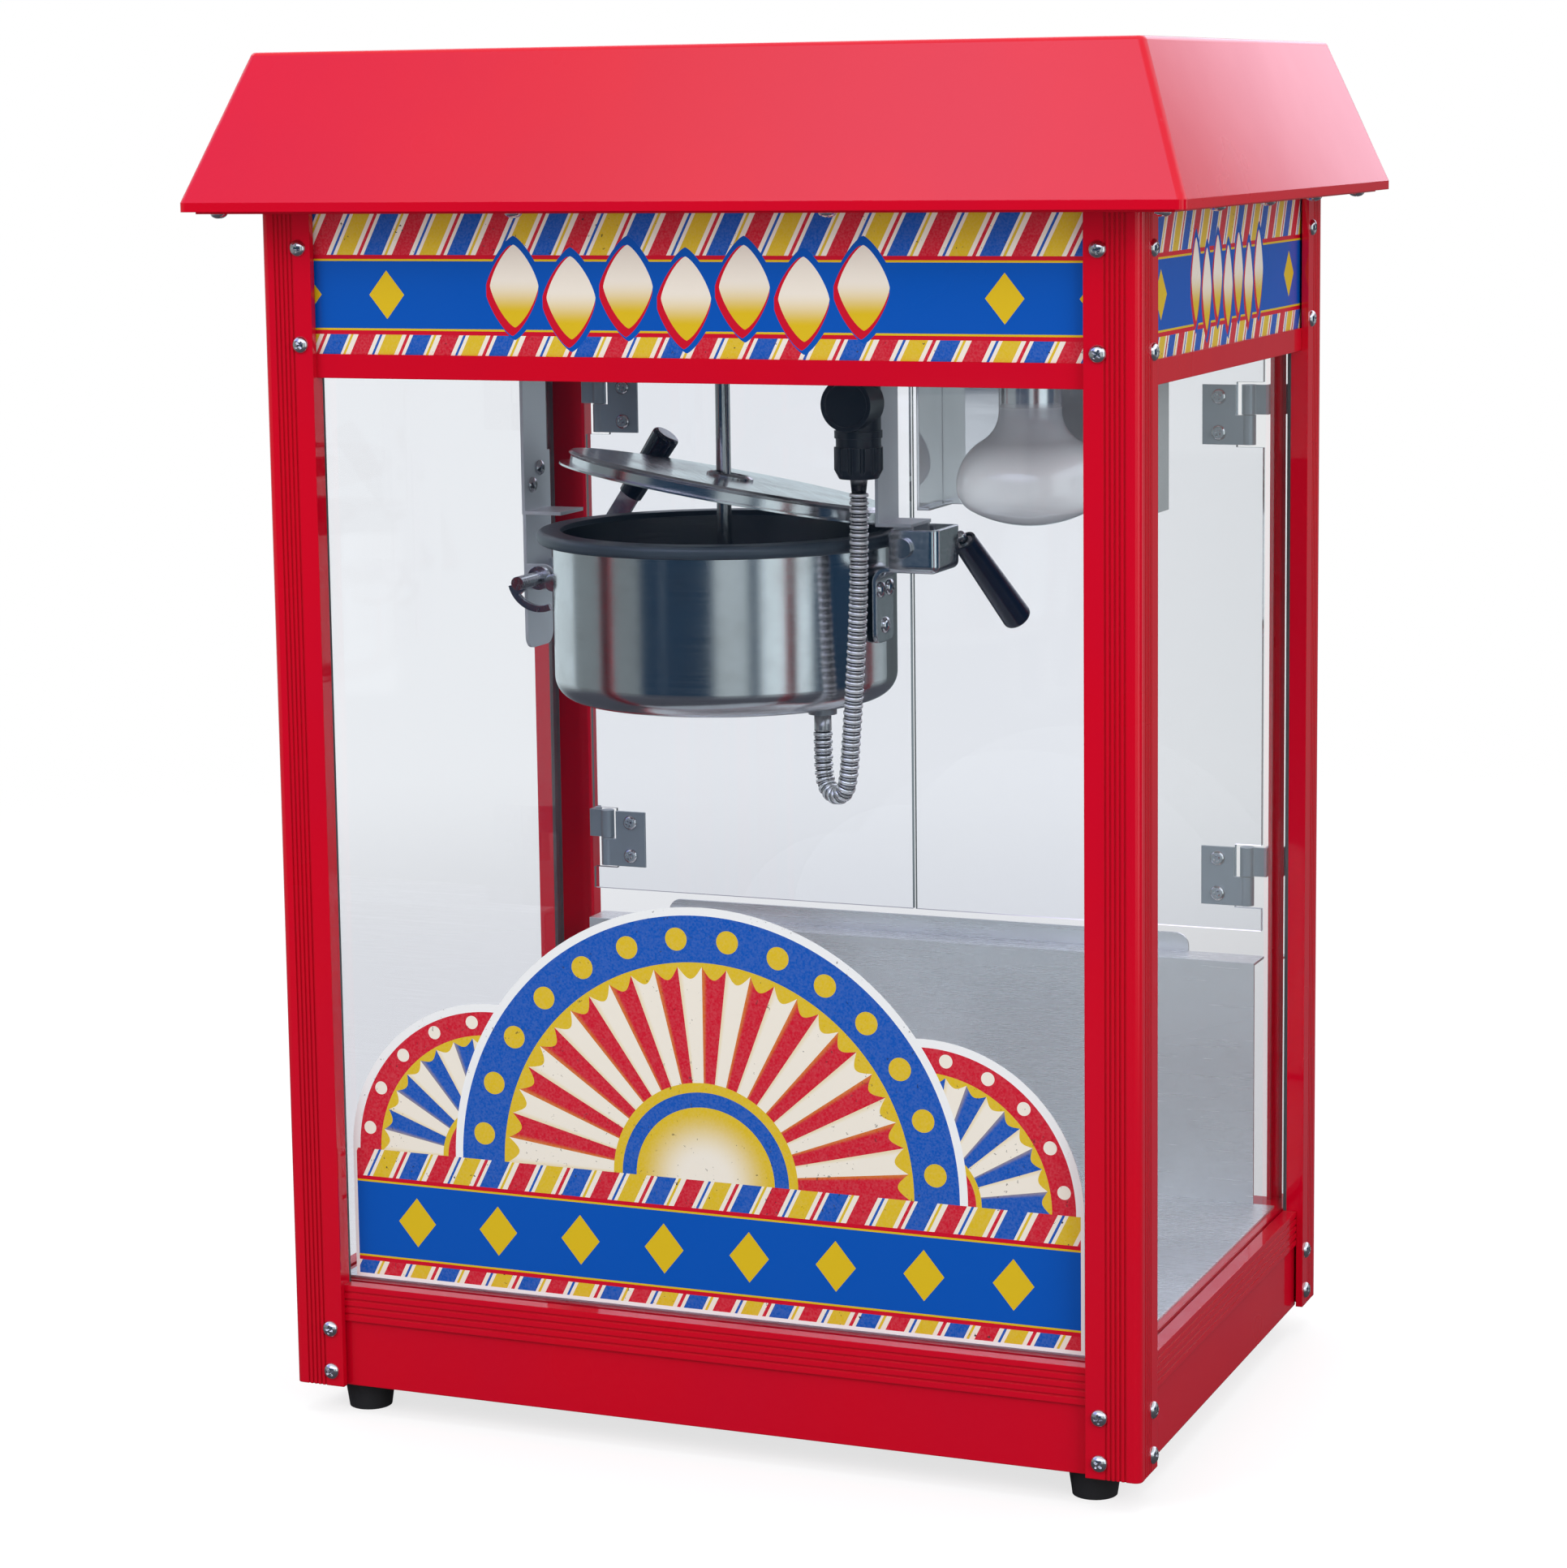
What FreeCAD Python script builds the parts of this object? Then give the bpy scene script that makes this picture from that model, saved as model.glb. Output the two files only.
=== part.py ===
import FreeCAD, Part
import math
import os

V = FreeCAD.Vector
UP = V(0, 0, 1)
BACK = V(0, 1, 0)
RIGHT = V(1, 0, 0)
QUARTER = 90

# Countertop popcorn maker, millimetres, +Z up, front towards -Y, origin on the floor under the middle.

# Cabinet frame
body_width = 496.0
body_depth = 356.0
post_length = 655.0
post_leg = 30.0
post_wall = 4.0
post_corner_radius = 4.0
post_lip_wall = 2.0
post_groove_count = 5
groove_pitch = 2.6
groove_width = 1.1
groove_depth = 0.7
post_groove_middle = 13.5
rail_depth = 22.0
base_rail_height = 58.0
base_face_height = 20.5
base_groove_count = 4
base_groove_pitch = 4.2
skirt_setback = 1.5
skirt_thickness = 2.5
skirt_flange = 16.0
sheet = 1.5
sign_height = 76.0
head_rail_height = 13.0
upstand_height = 13.0
upstand_setback = 4.0
upstand_thickness = 3.0
top_frame_height = 25.0
top_frame_wall = 2.0

# Feet and fasteners
foot_height = 17.0
foot_top_radius = 14.5
foot_bottom_radius = 12.0
foot_hole_radius = 5.0
foot_hole_depth = 9.0
foot_inset_x = 33.0
foot_inset_y = 26.0
screw_radius = 4.6
screw_top_radius = 3.0
screw_height = 2.4
post_screw_inset = 22.5
base_screw_low = 8.5
base_screw_high = 33.0
sign_screw_low = 5.0
sign_screw_high = 57.0

# Roof
roof_overhang = 32.0
roof_base_thickness = 1.2
roof_base_inset = 7.0
roof_lip = 5.0
roof_rise = 79.3
roof_slope_inset = 30.0
roof_sheet = 1.2
roof_return = 14.0
roof_corner_radius = 4.0
roof_edge_radius = 3.0
roof_screw_inset = 9.0

# Glazing, signs and print
glass_thickness = 4.0
glass_setback = 8.3
glass_play = 0.3
glass_slot_depth = 7.0
glass_end_gap = 16.0
seal_width = 8.0
seal_thickness = 2.0
sign_setback = 1.5
sign_thickness = 2.0
print_thickness = 0.4
print_margin = 4.0
print_band_height = 74.0
print_fan_radius = 150.0
print_side_fan_radius = 88.0

# Floor, dam and crumb drawer
deck_thickness = 1.2
deck_overlap = 5.0
deck_slot_width = 5.0
deck_slot_length = 60.0
deck_slot_rows = 3
deck_slots_per_row = 12
deck_slot_pitch = 24.0
dam_height = 205.0
dam_lip_height = 11.0
dam_lip_width = 336.0
dam_lip_radius = 8.0
dam_end_gap = 4.0
drawer_width = 300.0
drawer_depth = 280.0
drawer_height = 27.0
drawer_wall = 1.2
drawer_front_margin = 4.0
drawer_front_thickness = 2.5
drawer_play = 0.3
drawer_pull_width = 90.0
drawer_pull_depth = 12.0

# Rear doors and their hinges
door_thickness = 4.0
door_setback = 9.0
door_gap = 6.0
door_meeting_gap = 2.0
door_edge_gap = 7.0
door_post_gap = 3.0
door_notch_margin = 1.5
hinge_post_gap = 12.0
hinge_pin_radius = 2.0
hinge_knuckle_radius = 4.2
hinge_height = 35.0
hinge_inset = 32.5
hinge_clamp_width = 20.0
hinge_clamp_thickness = 1.5
hinge_leaf_width = 12.0
running_play = 0.06
knuckle_gap = 0.4

# Kettle, hung under the ceiling
kettle_x = -53.0
kettle_y = 0.0
rim_drop = 107.0
rim_height = 7.5
rim_overhang = 9.0
rim_inset = 4.5
rim_cover = 3.0
rim_round = 3.2
shell_radius = 98.0
shell_depth = 97.0
shell_round = 14.0
kettle_sheet = 1.2
pan_gap = 1.5
pan_depth = 82.0
pan_round = 12.0
element_inset = 36.0
element_thickness = 10.0
element_width = 26.0

# Kettle pivot at the right
pivot_gap = 11.5
pivot_y = -8.0
pivot_drop = 6.0
pivot_pin_radius = 3.5
pivot_head_radius = 5.6
pivot_head_height = 2.6
bracket_sheet = 2.5
bracket_bend = 6.0
bracket_round = 4.0
clip_bend = 4.5
hanger_sheet = 2.0
hanger_clearance = 2.0
hanger_lift = 11.0
hanger_web_inset = 17.5
hanger_width = 32.0
hanger_flange = 20.0
ear_radius = 7.5
ear_spread = 26.0
clip_spread = 34.0
clip_left = 8.5
clip_right = 20.0
clip_top = 10.0
clip_bottom = 12.0
strap_width = 27.0
strap_drop = 55.0
strap_round = 5.0

# Dump handle
grip_radius = 8.5
grip_near_radius = 6.9
grip_length = 64.6
grip_round = 2.5
grip_turn_angle = 63.8
grip_fall_angle = 48.5
grip_end_wall = 6.0
grip_recess_radius = 5.4
grip_recess_depth = 2.5
handle_collar_radius = 4.8
handle_collar_height = 1.8
handle_rod_radius = 3.0
handle_reach = -0.3
handle_drop = 0.1
handle_seat_inset = 8.0
handle_grip_y = 18.0
handle_bend_gap = 4.0

# Latch at the left
left_hanger_gap = 25.0
left_hanger_width = 31.0
left_hanger_y = 28.5
left_foot_length = 25.0
latch_offset = 8.0
latch_drop = 35.0
latch_shaft_radius = 4.0
latch_shaft_front = -16.0
latch_shaft_back = 84.0
carrier_overlap = 35.0
carrier_tail = 43.0
carrier_front = 18.0
carrier_width = 34.0
carrier_round = 8.0
carrier_ear_radius = 7.5
hook_inner_radius = 16.2
hook_outer_radius = 20.2
hook_hub_radius = 7.0
hook_gap = 2.0
hook_thickness = 3.0
hook_start_angle = 195.0
hook_spoke_angle = 24.0
hook_end_angle = 292.0
lever_inset = 4.0
lever_thickness = 3.0
lever_width = 12.0
lever_length = 96.8
lever_angle = 56.0
latch_grip_radius = 8.5
latch_grip_near_radius = 7.2
latch_grip_length = 44.0
latch_grip_end_wall = 3.0
catch_offset = 11.0
catch_drop = 2.0
catch_stud_radius = 3.0
catch_stud_tail = 1.5
catch_ear_y = 7.5
catch_ear_radius = 5.0
catch_plate_height = 26.0
catch_plate_width = 25.0

# Lid and stirrer
lid_inset = 1.0
lid_brim = 7.0
lid_height = 9.0
lid_bead = 1.5
lid_sheet = 1.2
lid_seat = 0.25
lid_tilt = 11.2
lid_bearing = 32.0
lid_hole_radius = 10.0
lid_bush_width = 3.5
lid_bush_height = 2.4
shaft_radius = 4.2
shaft_engagement = 23.5
blade_length = 66.0
blade_height = 11.0
blade_thickness = 2.0
blade_lift = 1.5
blade_hub_radius = 8.0

# Drive
ceiling_hole_radius = 9.0
gearbox_length = 64.0
gearbox_width = 46.0
gearbox_height = 30.0
motor_radius = 22.0
motor_length = 32.0

# Conduit
elbow_clearance = 9.3
elbow_bearing = -27.6
elbow_radius = 12.4
elbow_collar_radius = 13.2
elbow_collar_height = 4.0
elbow_cap_drop = 31.0
elbow_tail = 19.0
elbow_cap_radius = 14.5
elbow_cap_front = 19.0
elbow_cap_back = 2.0
elbow_cap_border = 2.5
elbow_cap_recess = 0.8
gland_height = 22.3
gland_radius = 13.4
gland_end_radius = 10.8
gland_taper = 5.0
gland_flutes = 12
gland_flute_radius = 1.4
conduit_radius = 5.4
conduit_root = 4.6
conduit_bore = 3.4
conduit_pitch = 4.0
conduit_plain_end = 11.0
rib_foot = 0.05
rib_shoulder = 0.3
conduit_end_inset = 20.0
conduit_end_bearing = -23.8
kettle_gland_height = 3.0
kettle_gland_radius = 8.0

# Lamp
lamp_x = 151.0
lamp_y = -60.0
lamp_drop = 94.7
lamp_radius = 40.0
lamp_face_depth = 21.5
lamp_shoulder_radius = 28.0
lamp_edge_radius = 15.0
lamp_flare_height = 40.0
lamp_neck_radius = 17.0
lamp_cap_radius = 13.5
lamp_cap_length = 22.0
socket_radius = 22.0
socket_height = 46.0
socket_proud = 2.5
socket_flange = 9.0
reflector_left = 82.0
reflector_right = 210.0
reflector_front = -49.0
reflector_back = -10.0
reflector_drop = 89.5
reflector_lip = 7.0

# Controls on the rear head panel
rocker_spacing = 60.0
rocker_width = 20.0
rocker_height = 26.0
rocker_depth = 10.0
rocker_tilt = 8.0
rocker_play = 0.4
rocker_end_play = 1.2
rocker_pin_radius = 1.5
rocker_pin_proud = 0.3
frame_border = 4.0
frame_proud = 2.0
frame_depth = 9.0
control_lift = 31.0
mains_gland_x = 150.0
mains_gland_radius = 11.0
mains_gland_bore = 4.0
mains_gland_neck = 2.0
mains_gland_nut = 12.0
mains_gland_lock = 6.0

# Places worked out from the sizes above; heights are from the foot of the posts
floor_z = foot_height
half_x = body_width / 2
half_y = body_depth / 2
rail_x = half_x - post_wall
rail_y = half_y - post_wall
inner_x = rail_x - rail_depth
inner_y = rail_y - rail_depth
base_step_height = base_rail_height - base_face_height
head_top = post_length - sign_height
head_rail_bottom = head_top - head_rail_height
ceiling_z = head_top
roof_z = post_length + roof_base_thickness
glass_y = rail_y - glass_setback
lip_depth = glass_setback - glass_play - seal_thickness
panel_y = rail_y - sign_setback
control_height = head_top + control_lift
door_plane = rail_y - door_setback
door_bottom = dam_height + dam_lip_height + door_gap
door_top = head_rail_bottom - door_gap
hinge_axis = half_x - post_leg - hinge_post_gap
hinge_centres = (door_bottom + hinge_inset, door_top - hinge_inset)
rim_top = ceiling_z - rim_drop
rim_radius = shell_radius + rim_overhang
rim_inner_radius = shell_radius - rim_inset
shell_bottom = rim_top - shell_depth
pan_bottom = rim_top - pan_depth
pan_radius = shell_radius - kettle_sheet - pan_gap
element_radius = shell_radius - element_inset
strap_x = kettle_x + shell_radius
pivot_x = kettle_x + rim_radius + pivot_gap
pivot_z = rim_top - pivot_drop
hanger_bottom = rim_top + hanger_clearance
right_hanger_bottom = pivot_z + hanger_lift
right_web_x = pivot_x - hanger_web_inset
left_web_x = kettle_x - rim_radius - left_hanger_gap - hanger_sheet / 2
latch_x = left_web_x + hanger_sheet / 2 + latch_offset
latch_z = rim_top - latch_drop
carrier_top = hanger_bottom + carrier_overlap
carrier_bottom = latch_z - carrier_tail
lever_y = latch_shaft_back - lever_inset
hook_front = catch_ear_y + bracket_sheet + hook_gap
lid_radius = shell_radius - lid_inset
lid_top_radius = lid_radius - lid_brim
lid_seat_z = rim_top + lid_seat
blade_level = pan_bottom + blade_lift
shaft_top = ceiling_z + sheet + shaft_engagement
elbow_reach = rim_radius + elbow_clearance
elbow_x = kettle_x + elbow_reach * math.cos(math.radians(elbow_bearing))
elbow_y = kettle_y + elbow_reach * math.sin(math.radians(elbow_bearing))
elbow_cap_z = ceiling_z - elbow_cap_drop
elbow_bottom = elbow_cap_z - elbow_tail
conduit_end_reach = shell_radius - conduit_end_inset
conduit_end_x = kettle_x + conduit_end_reach * math.cos(math.radians(conduit_end_bearing))
conduit_end_y = kettle_y + conduit_end_reach * math.sin(math.radians(conduit_end_bearing))
lamp_bottom = ceiling_z - lamp_drop
lamp_widest = lamp_bottom + lamp_face_depth
lamp_neck_bottom = lamp_widest + lamp_flare_height
socket_bottom = ceiling_z - socket_proud
reflector_bottom = ceiling_z - reflector_drop
rocker_axis_y = panel_y + frame_proud - rocker_depth / 2


def at(x, y, z):
    return V(x, y, z + floor_z)


def block(x0, x1, y0, y1, z0, z1):
    return Part.makeBox(x1 - x0, y1 - y0, z1 - z0, at(x0, y0, z0))


def bar(start, end, radius):
    return Part.makeCylinder(radius, (end - start).Length, start, end - start)


def along_y(x, y0, y1, z, radius):
    return bar(at(x, y0, z), at(x, y1, z), radius)


def upright(x, y, z0, z1, radius):
    return bar(at(x, y, z0), at(x, y, z1), radius)


def prism(points, sweep):
    face = Part.Face(Part.makePolygon(points + points[:1]))
    return face.extrude(sweep)


def turned_ring(x, y, profile):
    points = [V(radius, 0, height + floor_z) for radius, height in profile]
    face = Part.Face(Part.makePolygon(points + points[:1]))
    ring = face.revolve(V(0, 0, 0), UP, 360)
    ring.translate(V(x, y, 0))
    return ring


def fillet_where(shape, radius, wanted):
    edges = [edge for edge in shape.Edges if wanted(edge)]
    return shape.makeFillet(radius, edges)


def circle_edge_at(radius, height):
    def wanted(edge):
        curve = edge.Curve
        if not isinstance(curve, Part.Circle):
            return False
        level = abs(curve.Center.z - floor_z - height) < 1e-4
        return level and abs(curve.Radius - radius) < 1e-4
    return wanted


def at_height(edge, height):
    return abs(edge.Vertexes[0].Z - height) < 1e-4


def at_level(edge, height):
    return all(abs(vertex.Z - floor_z - height) < 1e-4 for vertex in edge.Vertexes)


def runs_along(direction, length):
    def wanted(edge):
        if len(edge.Vertexes) != 2:
            return False
        step = edge.Vertexes[1].Point - edge.Vertexes[0].Point
        return abs(abs(step.dot(direction)) - length) < 1e-4 and abs(step.Length - length) < 1e-4
    return wanted


def quarter(shape, turns):
    copy = shape.copy()
    copy.rotate(V(0, 0, 0), UP, QUARTER * turns)
    return copy


def mirrored(shape, normal):
    return shape.mirror(V(0, 0, 0), normal)


def four_corners(shape):
    right = mirrored(shape, RIGHT)
    return [shape, right, mirrored(shape, BACK), mirrored(right, BACK)]


def group(shapes):
    return Part.makeCompound(shapes)


def wall_profile(outer, points):
    return [at(0, depth - outer, height) for depth, height in points]


def wall_run(outer, points, length):
    start = [point - V(length / 2, 0, 0) for point in wall_profile(outer, points)]
    return prism(start, V(length, 0, 0))


def screw_head(seat, direction):
    return Part.makeCone(screw_radius, screw_top_radius, screw_height, seat, direction)


def corner_posts():
    left, front = -half_x, -half_y
    profile = [
        at(left, front, 0),
        at(left + post_leg, front, 0),
        at(left + post_leg, front + post_wall, 0),
        at(left + post_wall, front + post_wall, 0),
        at(left + post_wall, front + post_leg, 0),
        at(left, front + post_leg, 0),
    ]
    post = prism(profile, V(0, 0, post_length))
    corner = at(left, front, 0)
    full_length = runs_along(UP, post_length)

    def outer_edge(edge):
        return full_length(edge) and (edge.Vertexes[0].Point - corner).cross(UP).Length < 1e-4

    post = fillet_where(post, post_corner_radius, outer_edge)
    for index in range(post_groove_count):
        middle = post_groove_middle + (index - (post_groove_count - 1) / 2) * groove_pitch
        near = middle - groove_width / 2
        far = middle + groove_width / 2
        on_front = block(left + near, left + far, front - 1, front + groove_depth, 0, post_length)
        on_side = block(left - 1, left + groove_depth, front + near, front + far, 0, post_length)
        post = post.cut(on_front).cut(on_side)
    near, far = post_leg - post_lip_wall, post_leg
    low, high = base_rail_height, head_rail_bottom
    reach = post_wall + lip_depth
    front_lip = block(left + near, left + far, front + post_wall, front + reach, low, high)
    side_lip = block(left + post_wall, left + reach, front + near, front + far, low, high)
    return group(four_corners(post.fuse([front_lip, side_lip]).removeSplitter()))


def post_screws():
    heads = []
    heights = (base_screw_low, base_screw_high, head_top + sign_screw_low, head_top + sign_screw_high)
    for height in heights:
        on_front = screw_head(at(-half_x + post_screw_inset, -half_y, height), -BACK)
        on_side = screw_head(at(-half_x, -half_y + post_screw_inset, height), -RIGHT)
        heads += four_corners(on_front) + four_corners(on_side)
    return group(heads)


def base_rail(outer, length, slotted):
    slot_near = glass_setback - glass_play
    slot_far = glass_setback + glass_thickness + glass_play
    slot_floor = base_rail_height - glass_slot_depth
    skirt_back = skirt_setback + skirt_thickness
    hollow_top = slot_floor - sheet
    profile = [(0, base_step_height), (0, base_rail_height)]
    if slotted:
        profile += [(slot_near, base_rail_height), (slot_near, slot_floor)]
        profile += [(slot_far, slot_floor), (slot_far, base_rail_height)]
    profile += [
        (rail_depth, base_rail_height),
        (rail_depth, base_step_height),
        (rail_depth - sheet, base_step_height),
        (rail_depth - sheet, hollow_top),
        (skirt_back, hollow_top),
        (skirt_back, sheet),
        (skirt_setback + skirt_flange, sheet),
        (skirt_setback + skirt_flange, 0),
        (skirt_setback, 0),
        (skirt_setback, base_step_height),
    ]
    rail = wall_run(outer, profile, length)
    middle = (base_step_height + base_rail_height) / 2
    for index in range(base_groove_count):
        height = middle + (index - (base_groove_count - 1) / 2) * base_groove_pitch
        low, high = height - groove_width / 2, height + groove_width / 2
        rail = rail.cut(block(-length, length, -outer - 1, -outer + groove_depth, low, high))
    return rail


def base_rails():
    front_length = 2 * rail_x
    side_length = 2 * inner_y
    front = base_rail(rail_y, front_length, True)
    rear = base_rail(rail_y, front_length, False)
    side = base_rail(rail_x, side_length, True)
    mouth = drawer_width / 2 + drawer_play
    mouth_top = 2 * (sheet + drawer_play) + drawer_height
    opening = block(-mouth, mouth, -rail_y - 1, -inner_y + 1, sheet, mouth_top)
    rear = quarter(rear.cut(opening), 2)
    return group([front, quarter(side, 1), rear, quarter(side, 3)])


def head_rail(outer, across, length):
    slot_near = glass_setback - glass_play
    slot_far = glass_setback + glass_thickness + glass_play
    slot_roof = head_rail_bottom + glass_slot_depth
    channel_near = slot_far + sheet
    channel_far = rail_depth - sheet
    channel_floor = head_rail_bottom + sheet
    upstand_back = upstand_setback + upstand_thickness
    profile = [
        (0, head_rail_bottom),
        (slot_near, head_rail_bottom),
        (slot_near, slot_roof),
        (slot_far, slot_roof),
        (slot_far, head_rail_bottom),
        (rail_depth, head_rail_bottom),
        (rail_depth, head_top),
        (channel_far, head_top),
        (channel_far, channel_floor),
        (channel_near, channel_floor),
        (channel_near, head_top),
        (0, head_top),
    ]
    top = head_top + upstand_height
    upstand = [
        (upstand_setback, head_top),
        (upstand_back, head_top),
        (upstand_back, top),
        (upstand_setback, top),
    ]
    upstand_length = min(length, 2 * (across - upstand_setback))
    rail = wall_run(outer, profile, length)
    return rail.fuse(wall_run(outer, upstand, upstand_length)).removeSplitter()


def head_rails():
    front = head_rail(rail_y, rail_x, 2 * rail_x)
    side = head_rail(rail_x, rail_y, 2 * inner_y)
    return group([front, quarter(side, 1), quarter(front, 2), quarter(side, 3)])


def top_bar(outer, length):
    low = post_length - top_frame_height
    near = upstand_setback
    profile = [
        (near, low),
        (near + top_frame_wall, low),
        (near + top_frame_wall, post_length - top_frame_wall),
        (rail_depth, post_length - top_frame_wall),
        (rail_depth, post_length),
        (near, post_length),
    ]
    return wall_run(outer, profile, length)


def top_frame():
    front = top_bar(rail_y, 2 * (rail_x - upstand_setback))
    side = top_bar(rail_x, 2 * inner_y)
    return group([front, quarter(side, 1), quarter(front, 2), quarter(side, 3)])


def sign_panel(outer, length):
    near = sign_setback
    far = sign_setback + sign_thickness
    profile = [(near, head_top), (far, head_top), (far, post_length), (near, post_length)]
    return wall_run(outer, profile, length)


def front_sign():
    return sign_panel(rail_y, 2 * rail_x)


def side_signs():
    panel = sign_panel(rail_x, 2 * (rail_y - sign_setback - sign_thickness))
    return group([quarter(panel, 1), quarter(panel, 3)])


def rocker_places():
    return [rocker_spacing * (index - 1) for index in range(3)]


def control_panel():
    panel = quarter(sign_panel(rail_y, 2 * rail_x), 2)
    for x in rocker_places():
        wide = rocker_width / 2 + rocker_play + frame_border / 2
        tall = rocker_height / 2 + rocker_play + frame_border / 2
        window = block(x - wide, x + wide, inner_y, half_y, control_height - tall, control_height + tall)
        panel = panel.cut(window)
    neck_radius = mains_gland_bore + mains_gland_neck
    return panel.cut(along_y(mains_gland_x, inner_y, half_y, control_height, neck_radius))


def framed(x, wide, tall, y0, y1):
    return block(x - wide, x + wide, y0, y1, control_height - tall, control_height + tall)


def switch_frames():
    frames = []
    wide = rocker_width / 2 + rocker_play
    tall = rocker_height / 2 + rocker_play
    inside = frame_border / 2
    neck_front = panel_y - frame_depth
    for x in rocker_places():
        rim = framed(x, wide + frame_border, tall + frame_border, panel_y, panel_y + frame_proud)
        neck = framed(x, wide + inside, tall + inside, neck_front, panel_y)
        hollow = framed(x, wide, tall, neck_front - 1, half_y)
        frames.append(rim.fuse(neck).cut(hollow).removeSplitter())
    return group(frames)


def rocker(x):
    face_y = panel_y + frame_proud
    fall = rocker_height / 2 * math.tan(math.radians(rocker_tilt))
    tall = rocker_height / 2 - rocker_end_play
    left = x - rocker_width / 2
    back = face_y - rocker_depth
    profile = [
        at(left, back + fall, control_height - tall / 2),
        at(left, face_y + fall, control_height - tall),
        at(left, face_y, control_height),
        at(left, face_y + fall, control_height + tall),
        at(left, back + fall, control_height + tall / 2),
    ]
    cap = prism(profile, V(rocker_width, 0, 0))
    pivot = at(x, rocker_axis_y, control_height)
    cap.rotate(pivot, RIGHT, rocker_tilt)
    reach = RIGHT * (rocker_width / 2 + rocker_pin_proud)
    return cap.fuse(bar(pivot - reach, pivot + reach, rocker_pin_radius)).removeSplitter()


def mains_gland():
    inside = panel_y - sign_thickness
    nut = along_y(mains_gland_x, panel_y, panel_y + mains_gland_nut, control_height, mains_gland_radius)
    lock = along_y(mains_gland_x, inside - mains_gland_lock, inside, control_height, mains_gland_radius)
    neck = along_y(mains_gland_x, inside, panel_y, control_height, mains_gland_bore + mains_gland_neck)
    bore = along_y(mains_gland_x, inner_y, half_y + mains_gland_nut, control_height, mains_gland_bore)
    return nut.fuse([lock, neck]).cut(bore).removeSplitter()


def rounded_rectangle(width, depth, radius, height):
    x, y, z = width / 2 - radius, depth / 2 - radius, height + floor_z
    centres = [(x, y), (-x, y), (-x, -y), (x, -y)]
    edges = []
    for turn, (cx, cy) in enumerate(centres):
        arc = Part.makeCircle(radius, V(cx, cy, z), UP, QUARTER * turn, QUARTER * (turn + 1))
        if edges:
            edges.append(Part.makeLine(edges[-1].Vertexes[-1].Point, arc.Vertexes[0].Point))
        edges.append(arc)
    edges.append(Part.makeLine(edges[-1].Vertexes[-1].Point, edges[0].Vertexes[0].Point))
    return Part.Wire(edges)


def roof_hull(inset, low):
    width = body_width + 2 * roof_overhang - 2 * inset
    depth = body_depth + 2 * roof_overhang - 2 * inset
    eaves = roof_z + roof_lip
    top = eaves + roof_rise - inset
    lower = rounded_rectangle(width, depth, roof_corner_radius, low)
    middle = rounded_rectangle(width, depth, roof_corner_radius, eaves)
    narrow = 2 * roof_slope_inset
    upper = rounded_rectangle(width - narrow, depth - narrow, roof_corner_radius, top)
    skirt = Part.makeLoft([lower, middle], True, True)
    slope = Part.makeLoft([middle, upper], True, True)
    hull = skirt.fuse(slope).removeSplitter()
    ridge = [edge for edge in hull.Edges if at_level(edge, top)]
    return hull.makeFillet(roof_edge_radius, ridge)


def roof_shell():
    shell = roof_hull(0, roof_z).cut(roof_hull(roof_sheet, roof_z + roof_sheet))
    open_x = half_x + roof_overhang - roof_return
    open_y = half_y + roof_overhang - roof_return
    return shell.cut(block(-open_x, open_x, -open_y, open_y, roof_z - 1, roof_z + roof_sheet + 1))


def roof_base():
    x = half_x + roof_overhang - roof_base_inset
    y = half_y + roof_overhang - roof_base_inset
    return block(-x, x, -y, y, post_length, roof_z)


def roof_screws():
    x = half_x + roof_overhang - roof_base_inset - roof_screw_inset
    y = half_y + roof_overhang - roof_base_inset - roof_screw_inset
    places = []
    for side in (-1, 1):
        places += [(side * x * share, end * y) for share in (1, 1 / 3) for end in (-1, 1)]
        places += [(side * x, share * y) for share in (-0.5, 0, 0.5)]
    return group([screw_head(at(px, py, post_length), -UP) for px, py in places])


def feet():
    x = half_x - foot_inset_x
    y = half_y - foot_inset_y
    foot = Part.makeCone(foot_bottom_radius, foot_top_radius, foot_height, V(-x, -y, 0), UP)
    foot = foot.cut(Part.makeCylinder(foot_hole_radius, foot_hole_depth, V(-x, -y, 0), UP))
    return group(four_corners(foot))


def base_plate():
    x = rail_x - skirt_setback - skirt_thickness
    y = rail_y - skirt_setback - skirt_thickness
    return block(-x, x, -y, y, sheet, 2 * sheet)


def deck_plate():
    x = inner_x + deck_overlap
    front = -inner_y - deck_overlap
    deck = block(-x, x, front, inner_y, base_rail_height, base_rail_height + deck_thickness)
    for row in range(deck_slot_rows):
        middle_y = (row - (deck_slot_rows - 1) / 2) * (deck_slot_length + deck_slot_pitch)
        for place in range(deck_slots_per_row):
            middle_x = (place - (deck_slots_per_row - 1) / 2) * deck_slot_pitch
            deck = deck.cut(block(
                middle_x - deck_slot_width / 2,
                middle_x + deck_slot_width / 2,
                middle_y - deck_slot_length / 2,
                middle_y + deck_slot_length / 2,
                base_rail_height - 1,
                base_rail_height + deck_thickness + 1,
            ))
    return deck


def rear_dam():
    wide = half_x - post_leg - dam_end_gap
    lip_half = dam_lip_width / 2
    flange_low = dam_height - sheet
    wall = block(-wide, wide, inner_y, inner_y + sheet, base_rail_height, dam_height)
    flange = block(-wide, wide, inner_y, rail_y, flange_low, dam_height)
    lip = block(-lip_half, lip_half, rail_y - sheet, rail_y, flange_low, dam_height + dam_lip_height)
    is_corner = runs_along(BACK, sheet)
    top = dam_height + dam_lip_height + floor_z
    lip = fillet_where(lip, dam_lip_radius, lambda edge: is_corner(edge) and at_height(edge, top))
    return wall.fuse([flange, lip]).removeSplitter()


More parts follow.
